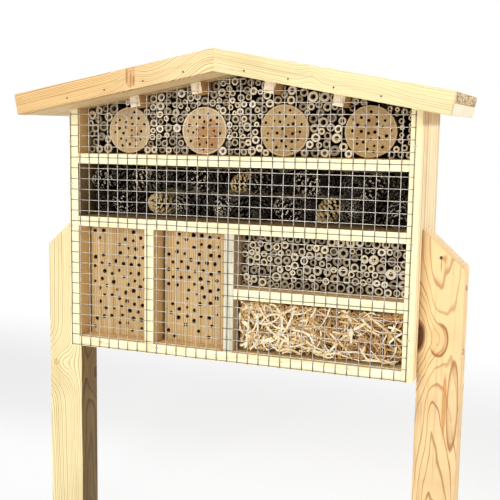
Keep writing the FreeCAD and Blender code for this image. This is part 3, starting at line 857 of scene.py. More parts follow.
@dataclass
class WireMesh:
    """The welded mesh, its staples, and the nails of the fascia."""

    radius: float = 0.0006
    cuts: int = 46
    sway: float = 0.0004
    sway_waves: Point = (9.0, 23.0, 47.0)
    wood_shade_reach: float = 0.001
    staple_ease: float = 0.00025
    nail_ease: float = 0.0002
    seed: int = 5

    def build(self) -> None:
        """Build the wires, the staples and the nails."""
        draw = np.random.default_rng(self.seed)
        blank = self.wire_blank()
        for node, axis in (("mesh_upright_wires", 2), ("mesh_cross_wires", 0)):
            wires = [self.wire(blank, start, end, axis, draw) for start, end in self.runs(node, axis)]
            piece = join(wires, node + "_steel")
            self.shade_on_wood(piece)
            WIRE.dress(piece)
            hand_over(piece, "mesh_steel", node)
        discard(blank)
        self.softened("mesh_staples", "mesh_steel", self.staple_ease, ZINC)
        for side in ("left", "right"):
            self.softened("fascia_nails_" + side, "fastener_steel", self.nail_ease, NAIL)

    def shade_on_wood(self, piece: Piece) -> None:
        """Mark where the wires lie against the boards, where their zinc is darkened with painted shade."""
        points = corners(piece)[:, ::2]
        touching = np.zeros(len(points), bool)
        for node in ("bottom_board", "shelf_middle", "shelf_upper", "shelf_lower", "divider_left",
                     "divider_right", "side_wall_front_left", "side_wall_front_right"):
            low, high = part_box(node)
            above = points > np.array((low.x, low.z)) - self.wood_shade_reach
            below = points < np.array((high.x, high.z)) + self.wood_shade_reach
            touching |= (above & below).all(1)
        mark(piece, "touches_wood", touching)

    def runs(self, node: str, axis: int) -> list[tuple[Array, Array]]:
        """Start and end of the middle line of each wire of a CAD node."""
        twin = node_copy(node)
        bm = bmesh.new()
        bm.from_mesh(twin.data)
        found = []
        left = set(bm.verts)
        while left:
            island, todo = [], [left.pop()]
            while todo:
                vert = todo.pop()
                island.append(vert.co[:])
                near = {edge.other_vert(vert) for edge in vert.link_edges} & left
                left -= near
                todo.extend(near)
            points = np.array(island)
            start = (points.min(0) + points.max(0)) / 2
            end = start.copy()
            start[axis], end[axis] = points[:, axis].min(), points[:, axis].max()
            found.append((start, end))
        bm.free()
        discard(twin)
        return sorted(found, key=lambda run: tuple(run[0]))

    def wire_blank(self) -> Piece:
        """A wire one metre long along Z, divided so that it can sway."""
        blank = rod("rod", 8, self.radius, 1.0, (0, 0, 0.5))
        choose(blank, "edges", lambda edge: abs(edge.verts[0].co.z - edge.verts[1].co.z) > 0.5)
        bpy.ops.mesh.subdivide(number_cuts=self.cuts)
        bpy.ops.object.mode_set(mode="OBJECT")
        smooth(blank, 50)
        return blank

    def wire(self, blank: Piece, start: Array, end: Array, axis: int, draw: Chance) -> Piece:
        """Copy of the blank laid from start to end, with a slight sway."""
        twin = copy_of(blank, "wire")
        points = corners(twin)
        share = points[:, 2].copy()
        length = end[axis] - start[axis]
        phases = draw.uniform(0, 2 * math.pi, 3)
        drift = sum(np.sin(share * length * w + p) for w, p in zip(self.sway_waves, phases)) / 3 * self.sway
        drift = drift * np.sin(np.clip(share, 0, 1) * math.pi) ** 0.5
        laid = np.tile(start, (len(points), 1))
        laid[:, axis] += share * length
        laid[:, 2 - axis] += points[:, 0] + drift
        laid[:, 1] += points[:, 1]
        if axis == 0:
            laid[:, 1] = start[1] - points[:, 1]
        put_corners(twin, laid)
        return twin

    def softened(self, node: str, slot: str, width: float, steel: Steel) -> None:
        """Fasteners of a CAD node with rounded edges."""
        piece = settle(node_copy(node), node + "_zinc")
        ease_edges(piece, width)
        steel.dress(piece)
        hand_over(piece, slot, node)


# ---------------------------------------------------------------- round and drilled wood

def bore_tools(places: list[Point], front: float, depth: float, spare: float = 0.002) -> Piece:
    """Cutters for round holes.

    Args:
        places: x, z and radius of each hole.
        front: y of the face that is bored.
        depth: depth of the holes.
        spare: how far the cutters stand out in front.

    Returns:
        One object with a cutter for each hole.
    """
    cutters = []
    drill = rod("drill", 12, 1.0, 1.0, turn=ALONG_DEPTH)
    for x, z, radius in places:
        cutter = copy_of(drill, "cutter")
        points = corners(cutter) * (radius, depth + 2 * spare, radius)
        put_corners(cutter, points + (x, front + depth / 2 - spare, z))
        cutters.append(cutter)
    discard(drill)
    return join(cutters, "cutters")


@dataclass(frozen=True)
class LogWood:
    """Sawn face of a round log: rings about its heart, drying cracks and a bark rim."""

    pale: Colour
    ring: Colour
    heart: Colour
    bark: Colour
    heart_share: float
    lopsided: float = 0.1
    cracks: float = 0.5
    ring_width: float = 0.0021
    # painted shade of the hole walls
    bore_shade: Colour = srgb(52, 34, 20)

    def dress(self, piece: Piece, x: float, z: float, radius: float, seed: float, front: float) -> None:
        """Give the log this wood, its rings centred on x and z and its sawn face at y = front."""
        wear(piece, piece.name + "_wood", lambda g: self.paint(g, x, z, radius, seed, front))

    def paint(self, g: Graph, x: float, z: float, radius: float, seed: float, front: float) -> None:
        """Lay out the material of one log, as dress asks for it."""
        place = g.object_place()
        mapped = g.add("Mapping", {"Vector": place, "Location": (-x, -seed, -z)}).outputs[0]
        flat = g.vector("MULTIPLY", mapped, (1.0, 0.0, 1.0))
        shifted = g.vector("ADD", flat, (radius * 0.08 * math.sin(seed), 0.0, radius * 0.08))
        reach = g.plus(g.vector("LENGTH", shifted), g.swing(g.noise(mapped, 60.0, 3.0), 0.006))
        rings = g.math("FRACT", g.math("DIVIDE", reach, self.ring_width))
        late = g.times(g.step(rings, 0.3, 0.85), g.step(rings, 1.0, 0.9))
        colour = g.mix(g.times(late, 0.35), self.pale, self.ring)
        aside = (-radius * self.lopsided, 0.0, radius * self.lopsided * 0.8)
        offside = g.vector("LENGTH", g.vector("ADD", flat, aside))
        patchy = g.plus(offside, g.swing(g.noise(mapped, 52.0, 4.0, 0.6), 0.075))
        core = g.veil(patchy, radius * self.heart_share * 1.15, radius * self.heart_share * 0.75, 0.8)
        colour = g.mix(core, colour, self.heart)
        angle = g.math("ARCTAN2", g.part(flat, "Z"), g.part(flat, "X"))
        ray = g.veil(g.line_noise(g.plus(angle, seed), 7.0, 3.0), 0.62, 0.68, self.cracks)
        colour = g.mix(ray, colour, self.ring, "MULTIPLY")
        fuzz = g.noise(mapped, 700.0, 3.0, 0.7)
        colour = g.mix(g.veil(fuzz, 0.45, 0.75, 0.5), colour, self.ring, "MULTIPLY")
        colour = g.mix(g.veil(g.noise(mapped, 130.0, 3.0, 0.6), 0.5, 0.7, 0.45), colour, self.heart)
        edge = g.plus(g.vector("LENGTH", flat), g.times(fuzz, 0.001))
        colour = g.mix(g.step(edge, radius - 0.0030, radius - 0.0018), colour, self.bark)
        # painted shade on the hole walls behind the sawn face
        colour = g.mix(g.veil(g.part(place, "Y"), front + 0.001, front + 0.003, 0.8), colour, self.bore_shade)
        height = g.math("SUBTRACT", g.times(fuzz, 0.6), g.times(ray, 1.0))
        g.surface(colour, 0.8, height, (0.6, 0.0008))


LOG_WOODS = (
    LogWood(srgb(200, 176, 132), srgb(140, 110, 70), srgb(172, 140, 92), srgb(204, 182, 140), 0.3, 0.2, 0.25),
    LogWood(srgb(206, 180, 138), srgb(128, 94, 56), srgb(170, 122, 66), srgb(220, 200, 160), 0.6, 0.25, 0.3),
    LogWood(srgb(188, 160, 112), srgb(128, 98, 58), srgb(154, 120, 72), srgb(196, 170, 124), 0.4, 0.2, 0.35),
    LogWood(srgb(186, 158, 110), srgb(126, 94, 54), srgb(160, 126, 78), srgb(192, 166, 120), 0.4, -0.2, 0.4),
)


@dataclass
class LogRow:
    """The four log slices under the roof, each drilled with nesting holes."""

    hole_radius: float = 0.0026
    holes: int = 25
    hole_depth: float = 0.07
    hole_stray: float = 0.0011
    edge: float = 0.008
    ease: float = 0.0012
    seed: int = 11

    def build(self) -> None:
        """Build the four slices."""
        draw = np.random.default_rng(self.seed)
        for n, wood in enumerate(LOG_WOODS):
            node = f"log_slice_{n + 1}"
            low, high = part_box(node)
            x, z, radius = round_of(node)
            piece = rod(node + "_wood", 56, 1.0, high.y - low.y, (x, (low.y + high.y) / 2, z), ALONG_DEPTH)
            self.shape(piece, x, z, radius, draw)
            ease_edges(piece, self.ease)
            bore(piece, bore_tools(self.hole_places(x, z, radius, draw), low.y, self.hole_depth))
            wood.dress(piece, x, z, radius, 1.7 * n + 0.6, low.y)
            hand_over(piece, "log_wood", node)

    def shape(self, piece: Piece, x: float, z: float, radius: float, draw: Chance) -> None:
        """Bring the round blank to the slightly uneven outline of a log."""
        points = corners(piece)
        angle = np.arctan2(points[:, 2] - z, points[:, 0] - x)
        phases = draw.uniform(0, 2 * math.pi, 3)
        uneven = sum(a * np.sin(k * angle + p) for a, k, p in zip((0.008, 0.006, 0.004), (2, 3, 5), phases))
        reach = radius * (0.99 + uneven)
        points[:, 0] = x + reach * np.cos(angle)
        points[:, 2] = z + reach * np.sin(angle)
        put_corners(piece, points)

    def hole_places(self, x: float, z: float, radius: float, draw: Chance) -> list[Point]:
        """Holes spread over the face, in rough rings about the heart."""
        places = []
        turn = draw.uniform(0, 6.28)
        for n in range(self.holes):
            reach = (radius - self.edge) * math.sqrt((n + 0.5) / self.holes)
            angle = turn + n * GOLDEN_ANGLE
            dx, dz = draw.normal(0, self.hole_stray, 2)
            size = self.hole_radius * draw.uniform(0.8, 1.15)
            places.append((x + reach * math.cos(angle) + dx, z + reach * math.sin(angle) + dz, size))
        return places


@dataclass
class DrilledBlocks:
    """The two upright blocks, drilled by hand with nesting holes."""

    holes: int = 74
    hole_radius: float = 0.0041
    hole_depth: float = 0.08
    spacing: float = 0.0157
    edge: float = 0.008
    left_gap: float = 0.003
    ease: float = 0.0015
    settling: int = 160
    seed: int = 23

    def build(self) -> None:
        """Build both blocks."""
        draw = np.random.default_rng(self.seed)
        for side, pith in (("left", (0.14, 0.012)), ("right", (0.11, -0.015))):
            node = "drilled_block_" + side
            low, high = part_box(node)
            low.x += self.left_gap
            piece = cube(node + "_wood", (low + high) / 2, high - low)
            ease_edges(piece, self.ease)
            bore(piece, bore_tools(self.hole_places(low, high, draw), low.y, self.hole_depth))
            cut = Cut(Grain.ALONG_Z, pith, (0.2, 0.25), 0.0032, 0.005, 0.35, bored_from=low.y)
            BLOCK_WOOD.dress(piece, cut)
            hand_over(piece, "block_wood", node)

    def hole_places(self, low: Vector, high: Vector, draw: Chance) -> list[Point]:
        """Holes scattered over the face, each clear of its neighbours."""
        start = np.array([low.x + self.edge, low.z + self.edge])
        end = np.array([high.x - self.edge, high.z - self.edge])
        spots = draw.uniform(start, end, (self.holes, 2))
        for _ in range(self.settling):
            spots = np.clip(spots + 0.4 * crowding(spots, self.spacing)[0], start, end)
        return [(x, z, self.hole_radius * draw.uniform(0.7, 1.08)) for x, z in spots]


# ---------------------------------------------------------------- canes

@dataclass(frozen=True)
class CaneFinish:
    """Cut cane: pale rims in several tones, the skin between canes and the deep bores darkened with painted
    shade.
    """

    tones: tuple[Colour, ...] = (
        srgb(240, 230, 206), srgb(222, 202, 164), srgb(200, 184, 154), srgb(168, 150, 122),
        srgb(128, 109, 84))
    # painted shade: the cane skins seen in the gaps, and the deep bores
    shaded_skin: Colour = srgb(54, 43, 30)
    inside: Colour = srgb(22, 16, 12)

    def paint(self, g: Graph) -> None:
        """Lay out the material."""
        rim = g.ramp(g.attribute("cane_tone"), self.tones)
        speck = g.noise(g.object_place(), 900.0, 3.0, 0.7)
        rim = g.mix(g.veil(speck, 0.45, 0.75, 0.35), rim, self.inside, "MULTIPLY")
        part = g.attribute("cane_part")
        # the skin and the bores take their painted shade
        colour = g.mix(g.step(part, 0.2, 0.6), rim, self.shaded_skin)
        colour = g.mix(g.step(part, 1.2, 1.8), colour, self.inside)
        g.surface(colour, 0.6, speck, (0.35, 0.0004))


@dataclass
class CaneBundles:
    """Round canes packed by hand around the log slices and in the bay above the straw."""

    filled_share: float = 0.87
    mean_radius: float = 0.0073
    radius_spread: float = 0.0011
    least_radius: float = 0.0052
    most_radius: float = 0.0095
    dropped_radius: float = 0.0035
    closed_share: float = 0.12
    stagger: float = 0.004
    log_gap: float = 0.0003
    batten_reach: float = 0.0115
    grid: float = 0.002
    grid_margin: float = 0.005
    grid_top: float = 0.86
    sides: int = 14
    seed: int = 31
    blank: Piece = field(default=None, init=False)

    def build(self) -> None:
        """Build both bundles."""
        self.blank = self.cane_blank()
        draw = np.random.default_rng(self.seed)
        bundles = (("canes_upper", self.upper_room, 0.9), ("canes_lower", self.lower_room, 0.7))
        for node, room, shade in bundles:
            low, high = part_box(node)
            places, radii = self.packed(room, low, high, draw)
            LOG.info("%s: %d canes, mean radius %.2f mm", node, len(radii), radii.mean() * 1000)
            canes = [self.cane(x, z, r, low.y, high.y, draw, shade) for (x, z), r in zip(places, radii)]
            piece = join(canes, node + "_cut")
            wear(piece, "cut_cane", CaneFinish().paint)
            hand_over(piece, "cane", node)
        discard(self.blank)

    def cane_blank(self) -> Piece:
        """A cane of radius 1 from y 0 to 1, bored from the front."""
        blank = rod("cane_blank", self.sides, 1.0, 1.0, (0, 0.5, 0), ALONG_DEPTH)
        choose(blank, "faces", lambda face: face.normal.y < -0.9)
        bpy.ops.mesh.inset(thickness=0.08, depth=0.004)
        bpy.ops.mesh.inset(thickness=0.35)
        bpy.ops.mesh.extrude_region_move(TRANSFORM_OT_translate={"value": (0, 0.6, 0)})
        bpy.ops.object.mode_set(mode="OBJECT")
        smooth(blank, 40)
        return blank

    def cane(self, x: float, z: float, radius: float, front: float, back: float, draw: Chance,
             shade: float) -> Piece:
        """Copy of the blank with its own bore, ovality and tone.

        Args:
            x: where its middle line lies.
            z: its height.
            radius: its outer radius.
            front: y of the bundle's front.
            back: y of the bundle's back.
            draw: source of chance.
            shade: above 1 makes the canes paler, below 1 darker.

        Returns:
            The cane.
        """
        twin = copy_of(self.blank, "cane")
        points = corners(twin)
        across = np.hypot(points[:, 0], points[:, 2])
        inner = across < 0.8
        deep = inner & (points[:, 1] > 0.3)
        share = draw.uniform(0.36, 0.6) + 0.1 * (1 - shade)
        closed = draw.random() < self.closed_share
        factor = np.where(inner, share / max(across[inner].max(), 1e-6), 1.0)
        turn = draw.uniform(0, math.pi)
        oval = 1 + draw.uniform(-0.05, 0.05)
        flat_x, flat_z = points[:, 0] * factor * oval, points[:, 2] * factor / oval
        out = front + draw.uniform(-self.stagger, self.stagger)
        y = points[:, 1].copy()
        y[deep] = draw.uniform(0.01, 0.05) if closed else draw.uniform(0.3, 0.7)
        placed = np.empty_like(points)
        placed[:, 0] = x + radius * (flat_x * math.cos(turn) - flat_z * math.sin(turn))
        placed[:, 2] = z + radius * (flat_x * math.sin(turn) + flat_z * math.cos(turn))
        placed[:, 1] = out + y * (back - out)
        put_corners(twin, placed)
        mark(twin, "cane_tone", draw.random() ** shade)
        # which part takes painted shade: 0 rim, 1 skin, 2 a deep bore, 0.8 a closed bore's bottom
        mark(twin, "cane_part", np.where(deep, 0.8 if closed else 2.0, np.where(across > 0.97, 1.0, 0.0)))
        return twin

    def upper_room(self, places: Array, radii: Array) -> Array:
        """Push that brings each cane under the roof back inside its bay and off logs and battens."""
        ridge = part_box("back_panel")[1].z
        wall_low, wall_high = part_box("side_wall_front_right")
        inner = wall_low.x
        slope = (ridge - wall_high.z) / inner
        push = self.box_push(places, radii, (-inner, inner), (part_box("shelf_upper")[1].z, ridge))
        normal = np.array([slope, 1.0]) / math.hypot(slope, 1.0)
        over = np.maximum((places[:, 1] + slope * np.abs(places[:, 0]) - ridge) * normal[1] + radii, 0)
        push[:, 0] -= over * normal[0] * np.sign(places[:, 0])
        push[:, 1] -= over * normal[1]
        for n in range(1, 5):
            x, z, radius = round_of(f"log_slice_{n}")
            push += self.round_push(places, radii, np.array([x, z]), radius + self.log_gap)
        for side in ("left", "right"):
            for kind in ("inner", "outer"):
                x, z, _ = round_of(f"roof_batten_{kind}_{side}")
                push += self.round_push(places, radii, np.array([x, z]), self.batten_reach)
        return push

    def lower_room(self, places: Array, radii: Array) -> Array:
        """Push that brings each cane back inside the lower bay."""
        across = (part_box("divider_right")[1].x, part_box("side_wall_front_right")[0].x)
        return self.box_push(places, radii, across, (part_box("shelf_lower")[1].z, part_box("shelf_middle")[0].z))

    def box_push(self, places: Array, radii: Array, *spans: tuple[float, float]) -> Array:
        """Push back inside a rectangle, given its span in x and in z."""
        push = np.zeros_like(places)
        for n, (low, high) in enumerate(spans):
            spot = places[:, n]
            push[:, n] += np.maximum(low + radii - spot, 0) - np.maximum(spot + radii - high, 0)
        return push

    def round_push(self, places: Array, radii: Array, middle: Array, reach: float) -> Array:
        """Push off a round neighbour."""
        away = places - middle
        distance = np.maximum(np.hypot(away[:, 0], away[:, 1]), 1e-6)
        over = np.maximum(reach + radii - distance, 0)
        return away / distance[:, None] * over[:, None]

    def packed(self, room: Callable, low: Vector, high: Vector, draw: Chance) -> tuple[Array, Array]:
        """Settle canes of mixed sizes against each other.

        Args:
            room: function that pushes canes back inside their bay.
            low: lowest corner of the bundle.
            high: highest corner of the bundle.
            draw: source of chance.

        Returns:
            The (x, z) places and the radii.
        """
        columns = np.arange(low.x - self.grid_margin, high.x + self.grid_margin, self.grid)
        rows = np.arange(low.z - self.grid_margin, self.grid_top, self.grid)
        spots = np.stack(np.meshgrid(columns, rows), -1).reshape(-1, 2)
        free = spots[np.abs(room(spots, np.zeros(len(spots)))).sum(1) == 0]
        count = int(self.filled_share * len(free) * self.grid ** 2 / (math.pi * self.mean_radius ** 2))
        radii = draw.normal(self.mean_radius, self.radius_spread, count)
        radii = np.clip(radii, self.least_radius, self.most_radius)
        places = free[draw.choice(len(free), count, replace=False)] + draw.normal(0, 0.0005, (count, 2))
        apart = radii[:, None] + radii[None]
        for _ in range(700):
            places = places + 0.45 * crowding(places, apart)[0]
            places = places + room(places, radii)
        for _ in range(40):
            overlap = crowding(places, radii[:, None] + radii[None])[1]
            radii = radii - 0.25 * np.maximum(overlap, np.hypot(*room(places, radii).T))
        keep = radii > self.dropped_radius
        return places[keep], radii[keep] * 0.995


# ---------------------------------------------------------------- cones

@dataclass(frozen=True)
class ConeFinish:
    """Open pine cones: scales darkened with painted shade towards the core, pale tips partly weathered and partly
    painted highlight, a few tan cones.
    """

    # painted shade: the scales are near black, darkest towards the core
    dark: Colour = srgb(10, 7, 6)
    brown: Colour = srgb(26, 19, 15)
    tip: Colour = srgb(226, 210, 186)
    tan: Colour = srgb(190, 162, 112)

    def paint(self, g: Graph) -> None:
        """Lay out the material."""
        grit = g.noise(g.object_place(), 420.0, 3.0, 0.7)
        reach, tone = g.attribute("scale_reach"), g.attribute("cone_tone")
        # scales darkened with painted shade towards the core
        colour = g.mix(g.step(reach, 0.55, 0.98), self.dark, self.brown)
        # pale tips, partly weathered and partly painted highlight
        shown = g.times(g.step(reach, 0.93, 1.0), g.step(grit, 0.48, 0.58))
        shown = g.times(shown, g.plus(0.12, g.veil(tone, 0.4, 0.75, 0.88)))
        colour = g.mix(shown, colour, self.tip)
        tanned = g.times(g.step(tone, 0.84, 0.9), g.step(reach, 0.6, 1.0))
        colour = g.mix(g.times(tanned, 0.9), colour, self.tan)
        g.surface(colour, 0.8, grit, (0.6, 0.0006), {"Specular IOR Level": 0.12})


@dataclass
class ConeBay:
    """Open pine cones on the middle shelf, two rows high and two layers deep."""

    length: float = 0.05
    width: float = 0.044
    scales: int = 72
    columns: int = 15
    rows: int = 2
    layers: tuple[float, ...] = (0.021, 0.062)
    wall_gap: float = 0.001
    face_gap: float = 0.0004
    seed: int = 41

    def build(self) -> None:
        """Build the heap."""
        draw = np.random.default_rng(self.seed)
        blank = self.cone_blank()
        low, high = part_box("pine_cones")
        low.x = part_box("side_wall_front_left")[1].x + self.wall_gap
        high.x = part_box("side_wall_front_right")[0].x - self.wall_gap
        cones = []
        pitch_x = (high.x - low.x - self.width) / (self.columns - 1)
        pitch_z = (high.z - low.z - self.width) / (self.rows - 1)
        for y in (low.y + layer for layer in self.layers):
            for row in range(self.rows):
                for column in range(self.columns):
                    x = low.x + self.width / 2 + column * pitch_x + draw.uniform(-0.004, 0.004)
                    z = low.z + self.width / 2 + row * pitch_z + draw.uniform(-0.001, 0.001)
                    cone = self.cone(blank, Vector((x, y + draw.uniform(-0.006, 0.006), z)), low, high, draw)
                    mark(cone, "cone_tone", (0.13 + (column + 2.4 * row) * GOLDEN_SHARE) % 1.0)
                    cones.append(cone)
        discard(blank)
        piece = join(cones, "pine_cones_heap")
        wear(piece, "pine_cone_scales", ConeFinish().paint)
        hand_over(piece, "pine_cone", "pine_cones")

    def scale_blank(self) -> Piece:
        """One scale: a thin plate along X, narrow at its root and thick at its lip."""
        plate = cube("scale_blank", (0.5, 0, 0), (1, 1, 1))
        points = corners(plate)
        tip = points[:, 0] > 0.5
        points[:, 1] *= np.where(tip, 0.62, 0.2)
        points[:, 2] *= np.where(tip, 0.22, 0.1)
        put_corners(plate, points)
        choose(plate, "faces", lambda face: face.normal.x > 0.8)
        bpy.ops.mesh.extrude_region_move(TRANSFORM_OT_translate={"value": (0.14, 0, 0.04)})
        bpy.ops.transform.resize(value=(1, 0.45, 0.4), center_override=(1.14, 0, 0.04))
        bpy.ops.object.mode_set(mode="OBJECT")
        return plate

    def cone_blank(self) -> Piece:
        """A cone 1 long along Z and 1 wide, its scales on a spiral about a core."""
        plate = self.scale_blank()
        scales = []
        for n in range(self.scales):
            share = (n + 0.5) / self.scales
            reach = 0.5 * math.sin(math.pi * (0.14 + 0.8 * share)) ** 0.8
            lift = math.radians(-24 + 92 * share)
            matrix = Matrix.Translation((0, 0, -0.42 + 0.8 * share))
            matrix = matrix @ Matrix.Rotation(n * GOLDEN_ANGLE, 4, "Z") @ Matrix.Rotation(-lift, 4, "Y")
            twin = copy_of(plate, "scale")
            twin.data.transform(matrix @ Matrix.Diagonal((reach * 0.88, reach * 0.7 + 0.03, 0.32, 1.0)))
            mark(twin, "scale_reach", np.clip(corners(plate)[:, 0], 0, 1))
            scales.append(twin)
        discard(plate)
        bpy.ops.mesh.primitive_uv_sphere_add(segments=8, ring_count=6, radius=0.2, scale=(1, 1, 2.0))
        core = settle(bpy.context.object, "cone_core")
        mark(core, "scale_reach", 0.0)
        return join([core, *scales], "cone_blank")

    def cone(self, blank: Piece, middle: Vector, low: Vector, high: Vector, draw: Chance) -> Piece:
        """Copy of the blank, turned by chance and kept inside the bay."""
        twin = copy_of(blank, "cone")
        size = draw.uniform(0.85, 1.08)
        turn = Euler((draw.uniform(-1.1, 1.1) + math.pi / 2, draw.uniform(-0.9, 0.9), draw.uniform(0, 6.28)))
        stretch = Matrix.Diagonal((self.width * size, self.width * size, self.length * size, 1.0))
        twin.data.transform(Matrix.Translation(middle) @ turn.to_matrix().to_4x4() @ stretch)
        lowest, highest = np.array(low) + self.face_gap, np.array(high) - self.face_gap
        put_corners(twin, np.clip(corners(twin), lowest, highest))
        return twin


# ---------------------------------------------------------------- straw

@dataclass(frozen=True)
class StrawFinish:
    """Wood wool: glossy shavings from cream to orange brown, and near black where painted shade lies deep in the
    bay.
    """

    tones: tuple[Colour, ...] = (
        srgb(254, 243, 210), srgb(230, 202, 142), srgb(194, 148, 80), srgb(132, 86, 40), srgb(50, 32, 20))

    def paint(self, g: Graph) -> None:
        """Lay out the material."""
        fine = g.noise(g.object_place(), 800.0, 2.0, 0.6)
        tone = g.plus(g.attribute("strand_tone"), g.swing(fine, 0.35))
        g.surface(g.ramp(tone, self.tones), 0.5, fine, (0.3, 0.0003))


@dataclass
class StrawBay:
    """Curled wood wool packed into the lower right bay: pale strands in front, ones behind darkened with painted
    shade the deeper they lie.
    """

    strands: int = 640
    pale_depth: float = 0.0048
    loose_depth: float = 0.03
    thickness: float = 0.00025
    steps: int = 12
    mass_set_back: float = 0.027
    mass_side_gap: float = 0.012
    mass_cuts: int = 24
    mass_lumps: float = 0.008
    seed: int = 53

    def build(self) -> None:
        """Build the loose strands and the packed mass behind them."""
        draw = np.random.default_rng(self.seed)
        low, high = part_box("straw")
        mass = self.mass(low, high, draw)
        piece = join([self.loose(low, high, draw), mass], "straw_wool")
        wear(piece, "wood_wool", StrawFinish().paint)
        hand_over(piece, "straw", "straw")

    def mass(self, low: Vector, high: Vector, draw: Chance) -> Piece:
        """Packed mass behind the loose strands, its face lumpy and darkened with painted shade."""
        front, left = low.y + self.mass_set_back, low.x + self.mass_side_gap
        middle = ((left + high.x) / 2, (front + high.y) / 2, (low.z + high.z) / 2)
        mass = cube("straw_mass", middle, (high.x - left, high.y - front, high.z - low.z))
        choose(mass, "faces", lambda face: face.normal.y < -0.9)
        bpy.ops.mesh.subdivide(number_cuts=self.mass_cuts)
        bpy.ops.object.mode_set(mode="OBJECT")
        points = corners(mass)
        face = points[:, 1] < front + 1e-5
        points[face, 1] += draw.uniform(0, self.mass_lumps, face.sum())
        put_corners(mass, points)
        # painted shade: the mass is near black, in a tone that wavers
        tones = 0.95 + 0.3 * np.sin(points[:, 0] * 95.0) * np.cos(points[:, 2] * 120.0 + 1.0)
        mark(mass, "strand_tone", tones)
        return mass

    def loose(self, low: Vector, high: Vector, draw: Chance) -> Piece:
        """Curled strands, each a flat ribbon with a thickness, laid at chance across the bay's face."""
        verts, faces, tones = [], [], []
        lowest, highest = np.array(low) + (0.0042, 0.0012, 0.0042), np.array(high) - 0.0022
        for _ in range(self.strands):
            length = draw.uniform(0.05, 0.16)
            start = draw.uniform(lowest, highest)
            start[0] += 0.02 * draw.random() * (start[0] < lowest[0] + 0.05)
            deep = self.loose_depth * draw.random() ** 0.8
            start[1] = low.y + deep
            if deep < self.pale_depth:
                width, tone = draw.uniform(0.0010, 0.0020), draw.uniform(0.0, 0.2)
            else:
                width = draw.uniform(0.0006, 0.0016)
                # painted shade: strands darker the deeper they lie
                tone = 0.26 + 0.36 * draw.random() ** 1.4 + 27.0 * (deep - self.pale_depth)
            rings = self.ribbon(start, length, width, (lowest, highest), draw)
            base = len(verts)
            verts.extend(rings)
            tones.extend([tone] * len(rings))
            for n in range(self.steps):
                ring = base + 4 * n
                for k in range(4):
                    m = (k + 1) % 4
                    faces.append((ring + k, ring + m, ring + 4 + m, ring + 4 + k))
            end = base + 4 * self.steps
            faces += [(base + 3, base + 2, base + 1, base), (end, end + 1, end + 2, end + 3)]
        mesh = bpy.data.meshes.new("strands")
        mesh.from_pydata(verts, [], faces)
        obj = bpy.data.objects.new("strands", mesh)
        bpy.context.scene.collection.objects.link(obj)
        mark(obj, "strand_tone", np.array(tones))
        hold(obj)
        bpy.ops.object.mode_set(mode="EDIT")
        bpy.ops.mesh.select_all(action="SELECT")
        bpy.ops.mesh.normals_make_consistent(inside=False)
        bpy.ops.object.mode_set(mode="OBJECT")
        smooth(obj, 50)
        return obj

    def ribbon(self, start: Array, length: float, width: float, room: tuple[Array, Array],
               draw: Chance) -> list[Point]:
        """Corners of one curled strand.

        Args:
            start: where its middle lies.
            length: its length.
            width: half its width.
            room: lowest and highest corner of the space it is folded back into.
            draw: source of chance.

        Returns:
            Four corners for each of its sections.
        """
        verts = []
        lowest, highest = room
        heading, curl = draw.normal(-0.25, 0.85), draw.normal(0, 26.0)
        heave = draw.uniform(0, 6.28)
        point = start - np.array([0.5 * length * math.cos(heading), 0.0, 0.5 * length * math.sin(heading)])
        step = length / self.steps
        for _ in range(self.steps + 1):
            along = np.array([math.cos(heading), 0.25 * math.cos(heave), math.sin(heading)])
            side = np.array([-along[2], 0.4 * math.sin(heave * 2), along[0]])
            side = side / np.linalg.norm(side) * width
            thick = np.cross(along, side)
            thick = thick / np.linalg.norm(thick) * self.thickness
            centre = lowest + np.abs(point - lowest)
            centre = np.clip(highest - np.abs(highest - centre), lowest, highest)
            verts += [tuple(centre + a * side + b * thick) for a, b in ((-1, -1), (1, -1), (1, 1), (-1, 1))]
            point = point + along * step
            heading += curl * step
            curl += draw.normal(0, 4.0)
            heave += 0.5
        return verts


# ---------------------------------------------------------------- studio

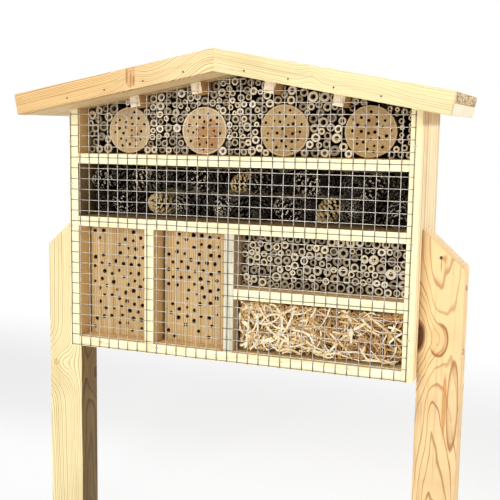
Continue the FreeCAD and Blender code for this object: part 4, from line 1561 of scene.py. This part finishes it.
@dataclass
class Studio:
    """Pale floor, white surroundings, soft lamps and the camera."""

    eye: Point = (0.54447, -1.48568, 0.75467)
    yaw: float = 23.08
    pitch: float = 7.78
    roll: float = 0.48
    lens: float = 65.56
    shift: tuple[float, float] = (0.1061, 0.0056)
    ambient: float = 0.25
    floor_grey: Colour = srgb(226, 226, 226)
    floor_glow: float = 0.5

    def build(self) -> None:
        """Build the studio."""
        self.floor()
        self.surroundings()
        self.lamp("front", (-0.5, -3.6, 1.35), (0.0, 0.0, 0.6), 1.8, 109.0)
        self.lamp("side", (4.0, 0.02, 1.75), (0.0, 0.0, 0.6), 0.45, 94.0)
        self.lamp("top", (-0.3, -0.5, 4.2), (0.0, 0.4, 0.0), 1.2, 60.0)
        self.lamp("back", (0.6, 4.2, 2.0), (0.0, 0.0, 0.5), 1.8, 45.0)
        self.camera()

    def floor(self) -> None:
        """Floor that turns white behind and in front of the hotel, with a band of painted shadow between."""
        bpy.ops.mesh.primitive_plane_add(size=30.0, location=(0, 9.0, 0))
        floor = settle(bpy.context.object, "studio_floor")
        wear(floor, "studio_floor", self.paint_floor)

    def paint_floor(self, g: Graph) -> None:
        """Lay out the floor's material."""
        shader = g.tree.nodes["Principled BSDF"]
        shader.inputs["Base Color"].default_value = rgba(self.floor_grey)
        shader.inputs["Roughness"].default_value = 0.9
        place = g.part(g.object_place(), "Y")
        # painted shadow: a grey band between front and back, where more of the lit floor shows
        outside_shadow_band = g.math("MAXIMUM", g.step(place, 0.8, 1.7), g.veil(place, 0.62, 0.2, 0.8))
        glow = g.plus(self.floor_glow, g.times(outside_shadow_band, 1.0 - self.floor_glow))
        white = g.add("Emission", {"Color": (1, 1, 1, 1), "Strength": 1.0})
        blend = g.add("MixShader", {0: g.times(glow, g.seen()), 1: shader.outputs[0], 2: white.outputs[0]})
        g.put(g.tree.nodes["Material Output"].inputs["Surface"], blend.outputs[0])

    def surroundings(self) -> None:
        """White where it is seen, and a gentler light for what it lights."""
        world = bpy.data.worlds.new("studio")
        bpy.context.scene.world = world
        world.use_nodes = True
        g = Graph(world.node_tree)
        background = world.node_tree.nodes["Background"]
        background.inputs["Color"].default_value = (1, 1, 1, 1)
        g.put(background.inputs["Strength"], g.plus(self.ambient, g.times(g.seen(), 1.0 - self.ambient)))

    def lamp(self, name: str, place: Point, aim: Point, size: float, power: float) -> None:
        """Soft square lamp at a place, turned to its aim."""
        light = bpy.data.lights.new(name, "AREA")
        light.size = size
        light.energy = power
        lamp = bpy.data.objects.new(name, light)
        lamp.location = place
        lamp.rotation_euler = (Vector(aim) - Vector(place)).to_track_quat("-Z", "Y").to_euler()
        bpy.context.scene.collection.objects.link(lamp)

    def camera(self) -> None:
        """Camera to the right of the hotel, looking a little down."""
        data = bpy.data.cameras.new("camera")
        data.lens = self.lens
        data.sensor_width = 36.0
        data.shift_x, data.shift_y = self.shift
        camera = bpy.data.objects.new("camera", data)
        turn = Matrix()
        for angle, axis in ((self.yaw, "Z"), (90 - self.pitch, "X"), (self.roll, "Z")):
            turn = turn @ Matrix.Rotation(math.radians(angle), 4, axis)
        camera.matrix_world = Matrix.Translation(self.eye) @ turn
        bpy.context.scene.collection.objects.link(camera)
        bpy.context.scene.camera = camera
        bpy.context.scene.view_settings.view_transform = "Standard"


def main() -> None:
    """Build the hotel piece by piece, then the studio."""
    logging.basicConfig(level=logging.INFO, format="%(message)s")
    deselect()
    growth_rings_group()
    knot_group()
    fillings = (LogRow(), DrilledBlocks(), CaneBundles(), ConeBay(), StrawBay())
    for assembly in (Case(), Roof(), Posts(), WireMesh(), *fillings, Studio()):
        assembly.build()


if __name__ == "__main__":
    main()
